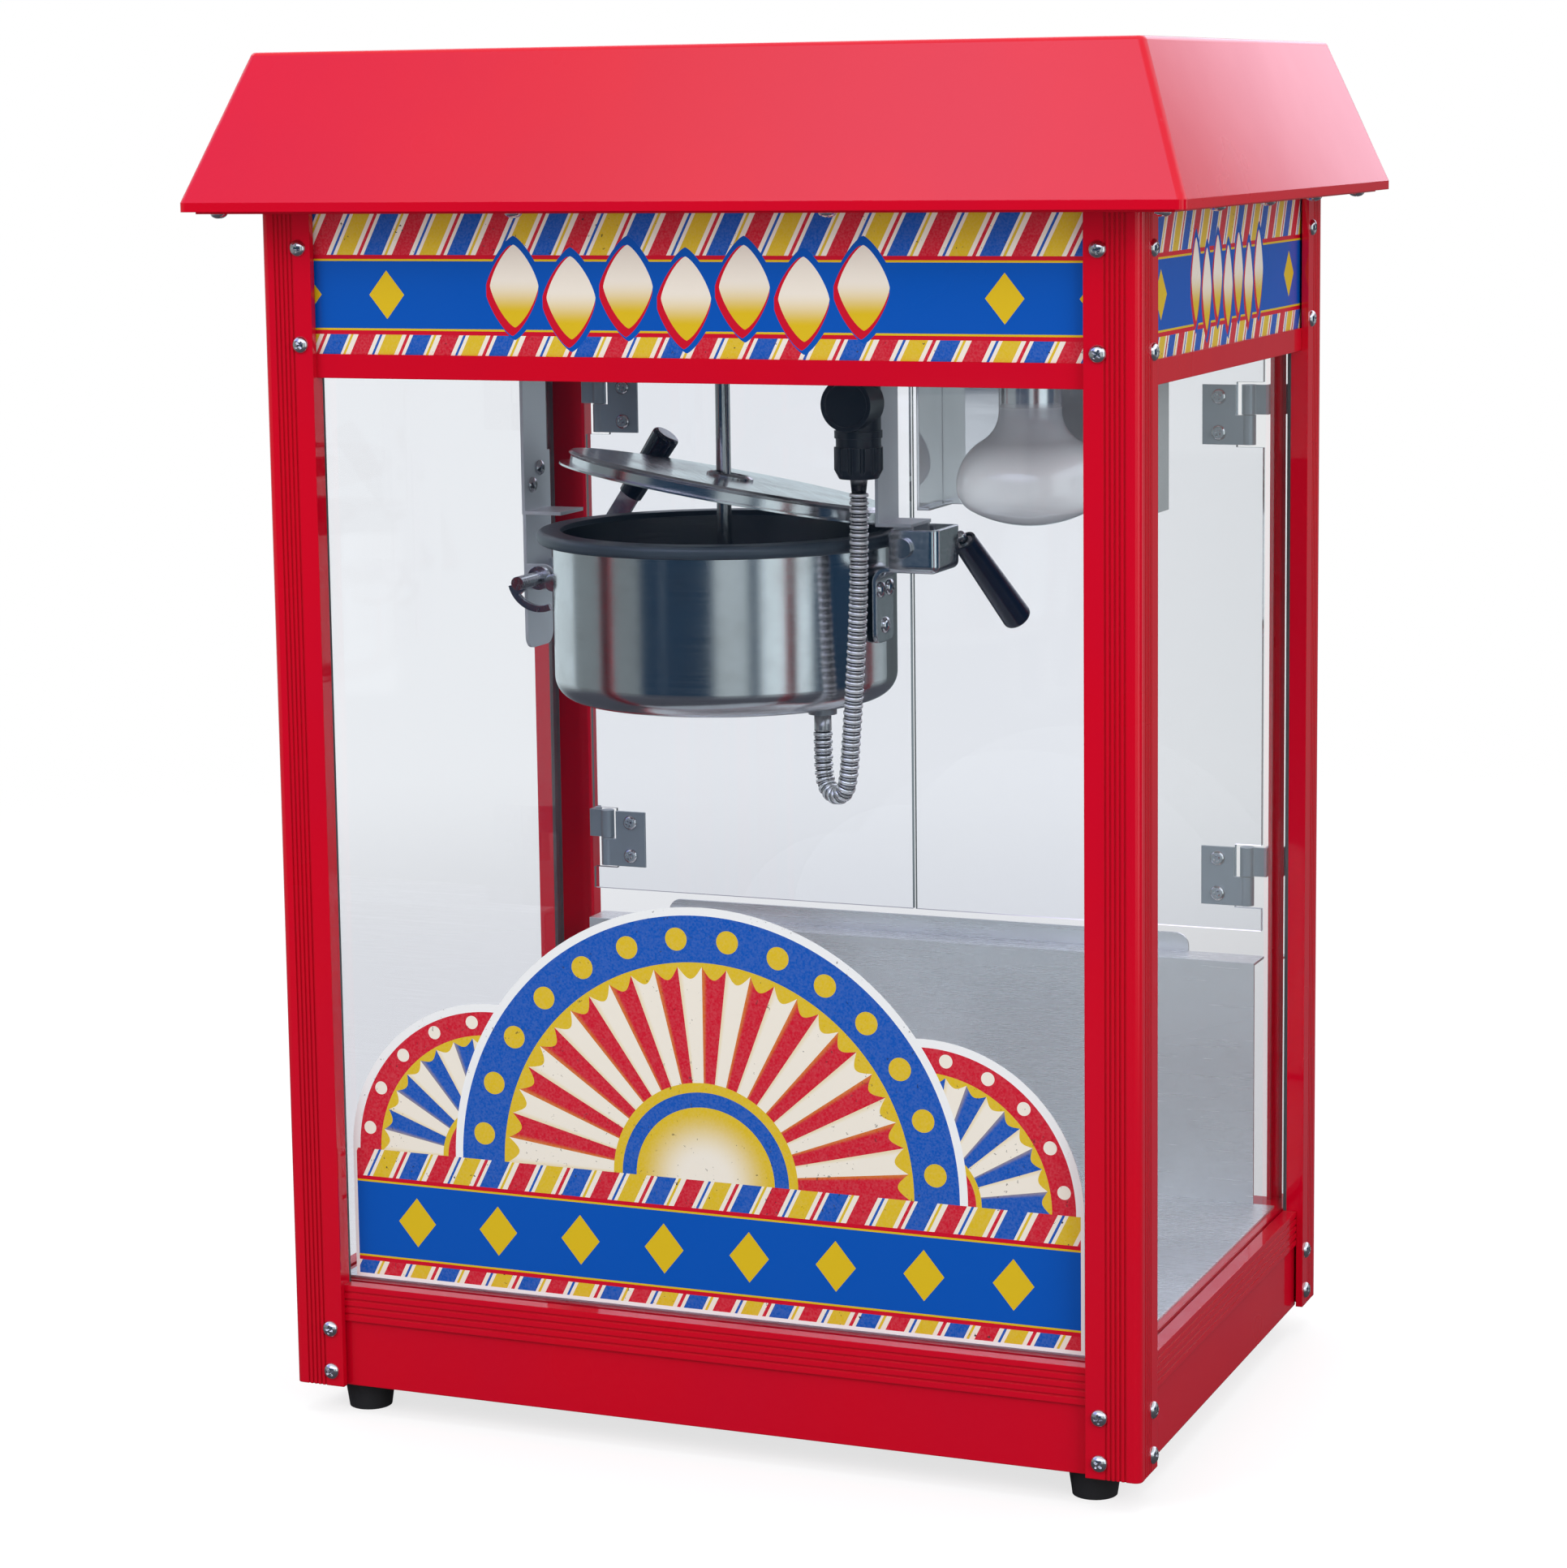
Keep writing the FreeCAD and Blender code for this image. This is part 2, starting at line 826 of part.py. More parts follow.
def crumb_drawer():
    wide = drawer_width / 2
    low = 2 * sheet + drawer_play
    high = low + drawer_height
    back = rail_y - skirt_setback
    front = back - drawer_depth
    wall = drawer_wall
    tray = block(-wide, wide, front, back, low, high)
    tray = tray.cut(block(wall - wide, wide - wall, front + wall, back - wall, low + wall, high + 1))
    margin = wide + drawer_front_margin
    face_near = back + drawer_play
    face_far = face_near + drawer_front_thickness
    face = block(-margin, margin, face_near, face_far, low, high + drawer_front_margin)
    neck = block(-wide, wide, back - wall, face_near, low, high)
    pull_z = (low + high) / 2
    pull_half = drawer_pull_width / 2
    pull_far = face_far + drawer_pull_depth
    pull = block(-pull_half, pull_half, face_near, pull_far, pull_z, pull_z + 2 * sheet)
    return tray.fuse([neck, face, pull]).removeSplitter()


def front_glass():
    wide = rail_x - glass_end_gap
    low = base_rail_height - glass_slot_depth + glass_play
    high = head_rail_bottom + glass_slot_depth - glass_play
    return block(-wide, wide, -glass_y, -glass_y + glass_thickness, low, high)


def side_glass():
    outer = rail_x - glass_setback
    low = base_rail_height - glass_slot_depth + glass_play
    high = head_rail_bottom + glass_slot_depth - glass_play
    deep = inner_y - glass_play
    panel = block(outer - glass_thickness, outer, -deep, deep, low, high)
    return group([panel, mirrored(panel, RIGHT)])


def glass_seals():
    low, high = base_rail_height, head_rail_bottom
    edge_x = half_x - post_leg
    edge_y = half_y - post_leg
    near, far = lip_depth, lip_depth + seal_thickness
    on_front = block(-edge_x - seal_width, -edge_x, -rail_y + near, -rail_y + far, low, high)
    on_side = block(-rail_x + near, -rail_x + far, -edge_y - seal_width, -edge_y, low, high)
    return group([on_front, mirrored(on_front, RIGHT)] + four_corners(on_side))


def front_print():
    wide = half_x - post_leg - print_margin
    low = base_rail_height + print_margin
    band_top = low + print_band_height
    front = -glass_y - print_thickness
    band = block(-wide, wide, front, -glass_y, low, band_top)
    above = block(-wide, wide, front, -glass_y, band_top, head_rail_bottom)
    fan_x = wide - print_side_fan_radius
    fans = [along_y(0, front, -glass_y, band_top, print_fan_radius)]
    fans += [along_y(side * fan_x, front, -glass_y, band_top, print_side_fan_radius) for side in (-1, 1)]
    outline = band.fuse([fan.common(above) for fan in fans])
    return outline.removeSplitter()


def hinge_span(centre, upper):
    low = centre - hinge_height / 2
    middle = centre
    if upper:
        return middle + knuckle_gap / 2, low + hinge_height
    return low, middle - knuckle_gap / 2


def door_hinges():
    solids = []
    post_edge = half_x - post_leg
    web_face = post_edge - hinge_clamp_thickness
    arm_half = hinge_clamp_thickness / 2
    leaf_end = post_edge + hinge_leaf_width
    leaf_back = half_y + hinge_clamp_thickness
    for centre in hinge_centres:
        low, high = hinge_span(centre, True)
        knuckle = upright(-hinge_axis, door_plane, low, high, hinge_knuckle_radius)
        arm = block(-post_edge, -hinge_axis, door_plane - arm_half, door_plane + arm_half, low, high)
        web = block(-post_edge, -web_face, door_plane - arm_half, leaf_back, low, high)
        leaf = block(-leaf_end, -web_face, half_y, leaf_back, low, high)
        bore = upright(-hinge_axis, door_plane, low - 1, high + 1, hinge_pin_radius)
        solids.append(knuckle.fuse([arm, web, leaf]).cut(bore).removeSplitter())
        solids.append(upright(-hinge_axis, door_plane, centre - hinge_height / 2, high, hinge_pin_radius))
    return group(solids + [mirrored(solid, RIGHT) for solid in solids])


def left_door_panel():
    near = door_post_gap - half_x + post_leg
    far = -door_meeting_gap / 2
    front = door_plane - door_thickness / 2
    back = front + door_thickness
    panel = block(near, far, front, back, door_bottom, door_top)
    notch_far = -hinge_axis + door_edge_gap
    notch_half = hinge_height / 2 + door_notch_margin
    for centre in hinge_centres:
        low, high = centre - notch_half, centre + notch_half
        panel = panel.cut(block(near - 1, notch_far, front - 1, back + 1, low, high))
    return panel


def left_door_clamps():
    solids = []
    near = -hinge_axis + door_edge_gap
    inside = door_plane - door_thickness / 2
    for centre in hinge_centres:
        low, high = hinge_span(centre, False)
        top = centre + hinge_height / 2
        plate = block(near, near + hinge_clamp_width, inside - hinge_clamp_thickness, inside, low, top)
        tongue = block(-hinge_axis, near, inside - hinge_clamp_thickness, inside, low, high)
        knuckle = upright(-hinge_axis, door_plane, low, high, hinge_knuckle_radius)
        bore = upright(-hinge_axis, door_plane, low - 1, high + 1, hinge_pin_radius + running_play)
        solids.append(plate.fuse([tongue, knuckle]).cut(bore).removeSplitter())
        middle_x = near + hinge_clamp_width / 2
        for share in (0.2, 0.8):
            seat = at(middle_x, inside - hinge_clamp_thickness, low + share * (top - low))
            solids.append(screw_head(seat, -BACK))
    return solids


def ceiling_plate():
    x = rail_x - upstand_setback - upstand_thickness
    y = rail_y - upstand_setback - upstand_thickness
    plate = block(-x, x, -y, y, ceiling_z, ceiling_z + sheet)
    above = ceiling_z + sheet + 1
    plate = plate.cut(upright(kettle_x, kettle_y, ceiling_z - 1, above, ceiling_hole_radius))
    return plate.cut(upright(lamp_x, lamp_y, ceiling_z - 1, ceiling_z + sheet + 1, socket_radius))


def eye_plate(x, z, radius, root, y, thickness):
    corners = [at(px, y, pz) for px, pz in root]
    return prism(corners, V(0, thickness, 0)).fuse(along_y(x, y, y + thickness, z, radius))


def right_hanger():
    near = right_web_x
    front = pivot_y - hanger_width / 2
    back = pivot_y + hanger_width / 2
    foot_top = right_hanger_bottom + hanger_sheet
    foot_end = pivot_x + ear_radius / 2
    web = block(near, near + hanger_sheet, front, back, right_hanger_bottom, ceiling_z)
    flange = block(near, near + hanger_flange, front, back, ceiling_z - hanger_sheet, ceiling_z)
    foot = block(near, foot_end, front, back, right_hanger_bottom, foot_top)
    hanger = web.fuse([flange, foot])
    ear_left = pivot_x - ear_radius
    root = [(ear_left, foot_top), (ear_left, pivot_z), (foot_end, pivot_z), (foot_end, foot_top)]
    for side in (-1, 1):
        y = pivot_y + side * ear_spread / 2 - hanger_sheet / 2
        hanger = hanger.fuse(eye_plate(pivot_x, pivot_z, ear_radius, root, y, hanger_sheet))
    bore = along_y(pivot_x, front - 1, back + 1, pivot_z, pivot_pin_radius)
    return hanger.cut(bore).removeSplitter()


def pivot_pin():
    reach = clip_spread / 2 + bracket_sheet
    head_back = pivot_y - reach - knuckle_gap
    pin = along_y(pivot_x, head_back, pivot_y + reach, pivot_z, pivot_pin_radius)
    head = along_y(pivot_x, head_back - pivot_head_height, head_back, pivot_z, pivot_head_radius)
    return pin.fuse(head).removeSplitter()


def bent_tub(x0, x1, y0, y1, z0, z1, radius):
    tub = block(x0, x1, y0, y1, z0, z1)

    def is_bend(edge):
        middle = edge.CenterOfMass
        return middle.x > x0 + 1e-4 and middle.z < z1 + floor_z - 1e-4

    return fillet_where(tub, radius, is_bend)


def kettle_bracket():
    left = pivot_x - clip_left
    right = pivot_x + clip_right
    low = pivot_z - clip_bottom
    high = pivot_z + clip_top
    front = pivot_y - clip_spread / 2 - bracket_sheet
    back = pivot_y + clip_spread / 2 + bracket_sheet
    strap_front = pivot_y - strap_width / 2
    strap_back = pivot_y + strap_width / 2
    strap_far = strap_x + bracket_sheet
    shelf_low = low - bracket_sheet
    shelf = block(strap_x, right - clip_bend, strap_front, strap_back, shelf_low, low)
    strap = block(strap_x, strap_far, strap_front, strap_back, pivot_z - strap_drop, low)
    bent = shelf.fuse(strap).removeSplitter()
    across = runs_along(BACK, strap_width)

    def edge_at(x, z):
        corner = at(x, 0, z)
        return lambda edge: across(edge) and (edge.Vertexes[0].Point - corner).cross(BACK).Length < 1e-4

    bent = fillet_where(bent, bracket_bend, edge_at(strap_far, shelf_low))
    bent = fillet_where(bent, bracket_bend + bracket_sheet, edge_at(strap_x, low))
    through = runs_along(RIGHT, bracket_sheet)
    foot = pivot_z - strap_drop + floor_z
    bent = fillet_where(bent, strap_round, lambda edge: through(edge) and at_height(edge, foot))
    clip = bent_tub(left, right, front, back, shelf_low, high, clip_bend)
    inside = (left - 1, right - bracket_sheet, front + bracket_sheet, back - bracket_sheet, low, high + 1)
    clip = clip.cut(bent_tub(*inside, clip_bend - bracket_sheet))
    top = high + floor_z
    deep = runs_along(BACK, bracket_sheet)
    clip = fillet_where(clip, bracket_round, lambda edge: deep(edge) and at_height(edge, top))
    bracket = bent.fuse(clip).removeSplitter()
    hole = along_y(pivot_x, front - 1, back + 1, pivot_z, pivot_pin_radius + running_play)
    return bracket.cut(hole)


def kettle_screws():
    upper = pivot_z - clip_bottom - bracket_sheet - bracket_bend - screw_radius
    lower = pivot_z - strap_drop + 2 * screw_radius
    face = strap_x + bracket_sheet
    heads = [screw_head(at(face, pivot_y + side * strap_width / 4, upper), RIGHT) for side in (-1, 1)]
    heads.append(screw_head(at(face, pivot_y, lower), RIGHT))
    return group(heads)


def grip_line():
    fall = math.radians(grip_fall_angle)
    turn = math.radians(grip_turn_angle)
    direction = V(math.cos(fall) * math.cos(turn), math.cos(fall) * math.sin(turn), -math.sin(fall))
    start = at(pivot_x + clip_right + handle_reach, handle_grip_y, pivot_z - handle_drop)
    return start, direction


def rounded_bar(start, end, near_radius, radius, rounding):
    grip = Part.makeCone(near_radius, radius, (end - start).Length, start, end - start)

    def far_rim(edge):
        return isinstance(edge.Curve, Part.Circle) and (edge.Curve.Center - end).Length < 1e-4

    return fillet_where(grip, rounding, far_rim)


def dump_rod():
    start, direction = grip_line()
    clip_back = pivot_y + clip_spread / 2 + bracket_sheet
    seat = at(pivot_x + clip_right - handle_seat_inset, clip_back, pivot_z - handle_drop)
    bend = start - direction * handle_bend_gap
    end = start + direction * (grip_length - grip_end_wall)
    link = bar(seat - (bend - seat), bend, handle_rod_radius)
    tail = bar(bend, end, handle_rod_radius)
    knee = Part.makeSphere(handle_rod_radius, bend)
    collar_top = start + direction * (grip_recess_depth - handle_collar_height)
    collar = bar(collar_top, start + direction * grip_recess_depth, handle_collar_radius)
    behind_clip = block(-half_x, half_x, clip_back, half_y, shell_bottom, ceiling_z)
    return link.fuse([tail, knee, collar]).common(behind_clip).removeSplitter()


def dump_grip():
    start, direction = grip_line()
    end = start + direction * grip_length
    grip = rounded_bar(start, end, grip_near_radius, grip_radius, grip_round)
    bore_end = end - direction * grip_end_wall
    recess = bar(start, start + direction * grip_recess_depth, grip_recess_radius)
    return grip.cut([bar(start, bore_end, handle_rod_radius + running_play), recess])


def left_hanger():
    near = left_web_x - hanger_sheet / 2
    front = left_hanger_y - left_hanger_width / 2
    back = left_hanger_y + left_hanger_width / 2
    web = block(near, near + hanger_sheet, front, back, hanger_bottom, ceiling_z)
    flange = block(near, near + hanger_flange, front, back, ceiling_z - hanger_sheet, ceiling_z)
    foot = block(near, near + left_foot_length, front, back, hanger_bottom, hanger_bottom + hanger_sheet)
    return web.fuse([flange, foot]).removeSplitter()


def latch_carrier():
    near = left_web_x - 3 * hanger_sheet / 2
    front = carrier_front
    back = carrier_front + carrier_width
    plate = block(near, near + hanger_sheet, front, back, carrier_bottom, carrier_top)
    is_corner = runs_along(RIGHT, hanger_sheet)
    bottom = carrier_bottom + floor_z
    plate = fillet_where(plate, carrier_round, lambda edge: is_corner(edge) and at_height(edge, bottom))
    root = [
        (near, latch_z + carrier_ear_radius),
        (near, latch_z - carrier_ear_radius),
        (latch_x, latch_z - carrier_ear_radius),
        (latch_x, latch_z + carrier_ear_radius),
    ]
    for y in (front, back - hanger_sheet):
        plate = plate.fuse(eye_plate(latch_x, latch_z, carrier_ear_radius, root, y, hanger_sheet))
    bore = along_y(latch_x, front - 1, back + 1, latch_z, latch_shaft_radius + running_play)
    return plate.cut(bore).removeSplitter()


def hanger_screws():
    heads = []
    inner = left_web_x + hanger_sheet / 2
    outer = left_web_x - 3 * hanger_sheet / 2
    for step in (-1, 1):
        height = carrier_top - screw_radius * (3 - step)
        heads.append(screw_head(at(inner, left_hanger_y + step * left_hanger_width / 6, height), RIGHT))
    heads.append(screw_head(at(outer, left_hanger_y, carrier_top - 3 * screw_radius), -RIGHT))
    middle = (hanger_flange + hanger_sheet) / 2
    for near, y in ((left_web_x - hanger_sheet / 2, left_hanger_y), (right_web_x, pivot_y)):
        heads.append(screw_head(at(near + middle, y, ceiling_z - hanger_sheet), -UP))
    return group(heads)


def latch_shaft():
    shaft = along_y(latch_x, latch_shaft_front, latch_shaft_back, latch_z, latch_shaft_radius)
    return shaft.fuse(latch_hook()).removeSplitter()


def ring_sector(x, z, inner, outer, start, end, y, thickness):
    def rim_point(radius, angle):
        turn = math.radians(angle)
        return at(x + radius * math.cos(turn), y, z + radius * math.sin(turn))

    middle = (start + end) / 2
    outer_points = [rim_point(outer, turn) for turn in (start, middle, end)]
    inner_points = [rim_point(inner, turn) for turn in (end, middle, start)]
    outer_arc = Part.Arc(*outer_points).toShape()
    inner_arc = Part.Arc(*inner_points).toShape()
    sides = [
        Part.makeLine(rim_point(outer, end), rim_point(inner, end)),
        Part.makeLine(rim_point(inner, start), rim_point(outer, start)),
    ]
    face = Part.Face(Part.Wire([outer_arc, sides[0], inner_arc, sides[1]]))
    return face.extrude(V(0, thickness, 0))


def latch_hook():
    spoke_end = hook_start_angle + hook_spoke_angle
    arms = [(hook_inner_radius, hook_end_angle), (hook_hub_radius - sheet, spoke_end)]
    hub = along_y(latch_x, hook_front, hook_front + hook_thickness, latch_z, hook_hub_radius)
    sectors = []
    for inner, end in arms:
        radii = (inner, hook_outer_radius)
        angles = (hook_start_angle, end)
        sectors.append(ring_sector(latch_x, latch_z, *radii, *angles, hook_front, hook_thickness))
    return hub.fuse(sectors)


def lever_line():
    turn = math.radians(lever_angle)
    start = at(latch_x, lever_y, latch_z)
    direction = V(math.cos(turn), 0, math.sin(turn))
    return start, direction


def latch_lever():
    start, direction = lever_line()
    across = direction.cross(BACK) * (lever_width / 2)
    end = start + direction * (lever_length - latch_grip_end_wall)
    forward = BACK * (-lever_thickness / 2)
    corners = [start + across, end + across, end - across, start - across]
    lever = prism([corner + forward for corner in corners], BACK * lever_thickness)
    front = lever_y - lever_thickness / 2
    back = lever_y + lever_thickness / 2
    boss = along_y(latch_x, front, back, latch_z, lever_width / 2)
    bore = along_y(latch_x, front - 1, back + 1, latch_z, latch_shaft_radius)
    return lever.fuse(boss).cut(bore).removeSplitter()


def latch_grip():
    start, direction = lever_line()
    base = start + direction * (lever_length - latch_grip_length)
    end = start + direction * lever_length
    return rounded_bar(base, end, latch_grip_near_radius, latch_grip_radius, grip_round).cut(latch_lever())


def catch_stud_place():
    return latch_x + catch_offset, latch_z - catch_drop


def kettle_catch():
    stud_x, stud_z = catch_stud_place()
    seat = kettle_x - shell_radius
    plate_near = seat - bracket_sheet
    back_y = catch_ear_y + bracket_sheet
    low = stud_z - catch_plate_height / 2
    high = low + catch_plate_height
    plate = block(plate_near, seat, back_y - catch_plate_width, back_y, low, high)
    middle = (plate_near + seat) / 2
    root = [
        (stud_x, stud_z + catch_ear_radius),
        (stud_x, stud_z - catch_ear_radius),
        (middle, low),
        (middle, high),
    ]
    ear = eye_plate(stud_x, stud_z, catch_ear_radius, root, catch_ear_y, bracket_sheet)
    stud_end = hook_front + hook_thickness + catch_stud_tail
    stud = along_y(stud_x, back_y, stud_end, stud_z, catch_stud_radius)
    return plate.fuse([ear, stud]).removeSplitter()


def kettle_shell():
    low = shell_bottom
    top = rim_top - rim_cover
    outer = upright(kettle_x, kettle_y, low, top, shell_radius)
    outer = fillet_where(outer, shell_round, circle_edge_at(shell_radius, low))
    inner_radius = shell_radius - kettle_sheet
    inner = upright(kettle_x, kettle_y, low + kettle_sheet, top + 1, inner_radius)
    inner_edge = circle_edge_at(inner_radius, low + kettle_sheet)
    inner = fillet_where(inner, shell_round - kettle_sheet, inner_edge)
    shell = outer.cut(inner)
    return shell.cut(upright(conduit_end_x, conduit_end_y, low - 1, low + kettle_sheet + 1, conduit_bore))


def kettle_pan():
    top = rim_top - rim_cover
    outer_radius = pan_radius
    low = pan_bottom - kettle_sheet
    outer = upright(kettle_x, kettle_y, low, top, outer_radius)
    outer = fillet_where(outer, pan_round, circle_edge_at(outer_radius, low))
    inner_radius = outer_radius - kettle_sheet
    inner = upright(kettle_x, kettle_y, pan_bottom, top + 1, inner_radius)
    inner = fillet_where(inner, pan_round - kettle_sheet, circle_edge_at(inner_radius, pan_bottom))
    return outer.cut(inner)


def kettle_rim():
    cover = rim_top - rim_cover
    low = rim_top - rim_height
    ring = turned_ring(kettle_x, kettle_y, [
        (shell_radius, low),
        (rim_radius, low),
        (rim_radius, rim_top),
        (rim_inner_radius, rim_top),
        (rim_inner_radius, cover),
        (shell_radius, cover),
    ])
    at_top = circle_edge_at(rim_radius, rim_top)
    at_bottom = circle_edge_at(rim_radius, low)
    return fillet_where(ring, rim_round, lambda edge: at_top(edge) or at_bottom(edge))


def heating_element():
    top = pan_bottom - kettle_sheet
    low = top - element_thickness
    inner = element_radius - element_width / 2
    outer = element_radius + element_width / 2
    ring = upright(kettle_x, kettle_y, low, top, outer)
    return ring.cut(upright(kettle_x, kettle_y, low - 1, top + 1, inner))


def kettle_gland():
    low = shell_bottom - kettle_gland_height
    nut = upright(conduit_end_x, conduit_end_y, low, shell_bottom, kettle_gland_radius)
    return nut.cut(upright(conduit_end_x, conduit_end_y, low - 1, shell_bottom + 1, conduit_bore))


def lid_pose(shape):
    bearing = math.radians(lid_bearing)
    outward = V(math.cos(bearing), math.sin(bearing), 0)
    hinge = at(kettle_x, kettle_y, lid_seat_z) + outward * lid_radius
    shape.rotate(hinge, UP.cross(outward), lid_tilt)
    return shape


def lid():
    low = lid_seat_z
    top = low + lid_height
    wall = lid_top_radius + lid_sheet
    profile = [
        (lid_radius, low),
        (lid_radius, low + lid_sheet),
        (wall, low + lid_sheet),
        (wall, top - 2 * lid_bead),
        (wall + lid_bead, top - lid_bead),
        (wall, top),
        (lid_hole_radius, top),
        (lid_hole_radius, top - lid_sheet),
        (lid_top_radius, top - lid_sheet),
        (lid_top_radius, low),
    ]
    return lid_pose(turned_ring(kettle_x, kettle_y, profile))


def lid_bush():
    top = lid_seat_z + lid_height
    profile = [
        (lid_hole_radius, top),
        (lid_hole_radius + lid_bush_width, top),
        (lid_hole_radius + lid_bush_width, top + lid_sheet),
        (lid_hole_radius + lid_sheet, top + lid_bush_height),
        (lid_hole_radius, top + lid_bush_height),
    ]
    return lid_pose(turned_ring(kettle_x, kettle_y, profile))


def stirrer_shaft():
    return upright(kettle_x, kettle_y, blade_level, shaft_top, shaft_radius)


def stirrer_blade():
    low = blade_level
    high = low + blade_height
    hub = upright(kettle_x, kettle_y, low, high, blade_hub_radius)
    left_tip = kettle_x - blade_length
    right_tip = kettle_x + blade_length
    lean = blade_height / 2
    arms = []
    for tip, side in ((left_tip, 1), (right_tip, -1)):
        profile = [
            at(kettle_x, side * lean, low),
            at(kettle_x, side * lean + side * blade_thickness, low),
            at(kettle_x, side * blade_thickness - side * lean, high),
            at(kettle_x, -side * lean, high),
        ]
        arms.append(prism(profile, V(tip - kettle_x, 0, 0)))
    blade = hub.fuse(arms)
    return blade.cut(upright(kettle_x, kettle_y, low - 1, high + 1, shaft_radius)).removeSplitter()


def gear_motor():
    low = ceiling_z + sheet
    box_top = low + gearbox_height
    left = kettle_x - gearbox_width / 2
    right = left + gearbox_length
    half = gearbox_width / 2
    box = block(left, right, kettle_y - half, kettle_y + half, low, box_top)
    can = upright(right - motor_radius, kettle_y, box_top, box_top + motor_length, motor_radius)
    bore = upright(kettle_x, kettle_y, low - 1, shaft_top + knuckle_gap, shaft_radius + running_play)
    return box.fuse(can).cut(bore).removeSplitter()


def conduit_elbow():
    body = upright(elbow_x, elbow_y, elbow_bottom, ceiling_z, elbow_radius)
    collar_top = elbow_bottom + elbow_collar_height
    collar = upright(elbow_x, elbow_y, elbow_bottom, collar_top, elbow_collar_radius)
    face_y = elbow_y - elbow_cap_front
    cap = along_y(elbow_x, face_y, elbow_y + elbow_cap_back, elbow_cap_z, elbow_cap_radius)
    recess = elbow_cap_radius - elbow_cap_border
    dish = along_y(elbow_x, face_y - 1, face_y + elbow_cap_recess, elbow_cap_z, recess)
    return body.fuse([collar, cap]).cut(dish).removeSplitter()


def gland_nut():
    low = elbow_bottom - gland_height
    shoulder = elbow_bottom - gland_taper
    profile = [
        (conduit_bore, low),
        (gland_end_radius, low),
        (gland_radius, low + gland_taper),
        (gland_radius, shoulder),
        (elbow_radius, shoulder),
        (elbow_radius, elbow_bottom),
        (conduit_bore, elbow_bottom),
    ]
    nut = turned_ring(elbow_x, elbow_y, profile)
    for index in range(gland_flutes):
        turn = 2 * math.pi * index / gland_flutes
        x = elbow_x + gland_radius * math.cos(turn)
        y = elbow_y + gland_radius * math.sin(turn)
        nut = nut.cut(upright(x, y, low - 1, shoulder, gland_flute_radius))
    return nut


def conduit_route():
    start = at(elbow_x, elbow_y, elbow_bottom - gland_height)
    end = at(conduit_end_x, conduit_end_y, shell_bottom - kettle_gland_height)
    across = V(end.x - start.x, end.y - start.y, 0)
    lean = [
        (0.0, 0.0),
        (0.0, 43.0),
        (0.09, 92.0),
        (0.25, 142.0),
        (0.35, 171.8),
        (0.536, 179.0),
        (0.798, 179.0),
        (0.984, 171.8),
    ]
    points = [start + across * share - UP * drop for share, drop in lean]
    return points + [end - UP * 16.4, end]


def path_edges(points):
    edges = []
    radii = []
    cursor = points[0]
    for before, corner, after in zip(points, points[1:], points[2:]):
        into = (corner - before)
        out = (after - corner)
        turn = into.getAngle(out)
        reach = 0.45 * min(into.Length, out.Length)
        tangent_in = corner - V(into).normalize() * reach
        tangent_out = corner + V(out).normalize() * reach
        radius = reach / math.tan(turn / 2)
        inward = (V(out).normalize() - V(into).normalize()).normalize()
        centre = corner + inward * (radius / math.cos(turn / 2))
        middle = centre - inward * radius
        edges.append(Part.makeLine(cursor, tangent_in))
        edges.append(Part.Arc(tangent_in, middle, tangent_out).toShape())
        cursor = tangent_out
        radii.append(radius)
    edges.append(Part.makeLine(cursor, points[-1]))
    print("conduit bend radii", [round(radius, 1) for radius in radii])
    return edges


def conduit_station(edges, distance):
    for edge in edges:
        if distance <= edge.Length or edge is edges[-1]:
            parameter = edge.getParameterByLength(min(distance, edge.Length))
            return edge.valueAt(parameter), edge.tangentAt(parameter)
        distance -= edge.Length


def conduit_circle(edges, distance, radius, steady):
    centre, tangent = conduit_station(edges, distance)
    circle = Part.Circle(centre, tangent, radius)
    circle.XAxis = steady
    return Part.Wire(circle.toShape())


def kettle_conduit():
    points = conduit_route()
    edges = path_edges(points)
    length = sum(edge.Length for edge in edges)
    steady = (points[0] - points[-1]).cross(UP).normalize()
    ribbed = length - 2 * conduit_plain_end
    count = int(ribbed / conduit_pitch)
    pitch = ribbed / count
    rings = [conduit_circle(edges, 0, conduit_root, steady)]
    for index in range(count):
        foot = conduit_plain_end + index * pitch
        for share in (rib_foot, rib_shoulder, 1 - rib_shoulder, 1 - rib_foot):
            radius = conduit_radius if rib_foot < share < 1 - rib_foot else conduit_root
            rings.append(conduit_circle(edges, foot + share * pitch, radius, steady))
    rings.append(conduit_circle(edges, length, conduit_root, steady))
    tube = Part.makeLoft(rings, True, True)
    bore_ring = conduit_circle(edges, 0, conduit_bore, steady)
    bore = Part.Wire(edges).makePipeShell([bore_ring], True, False)
    hollow = tube.cut(bore)
    print("conduit length", round(length, 1), "ribs", count, "volume", round(hollow.Volume))
    return hollow


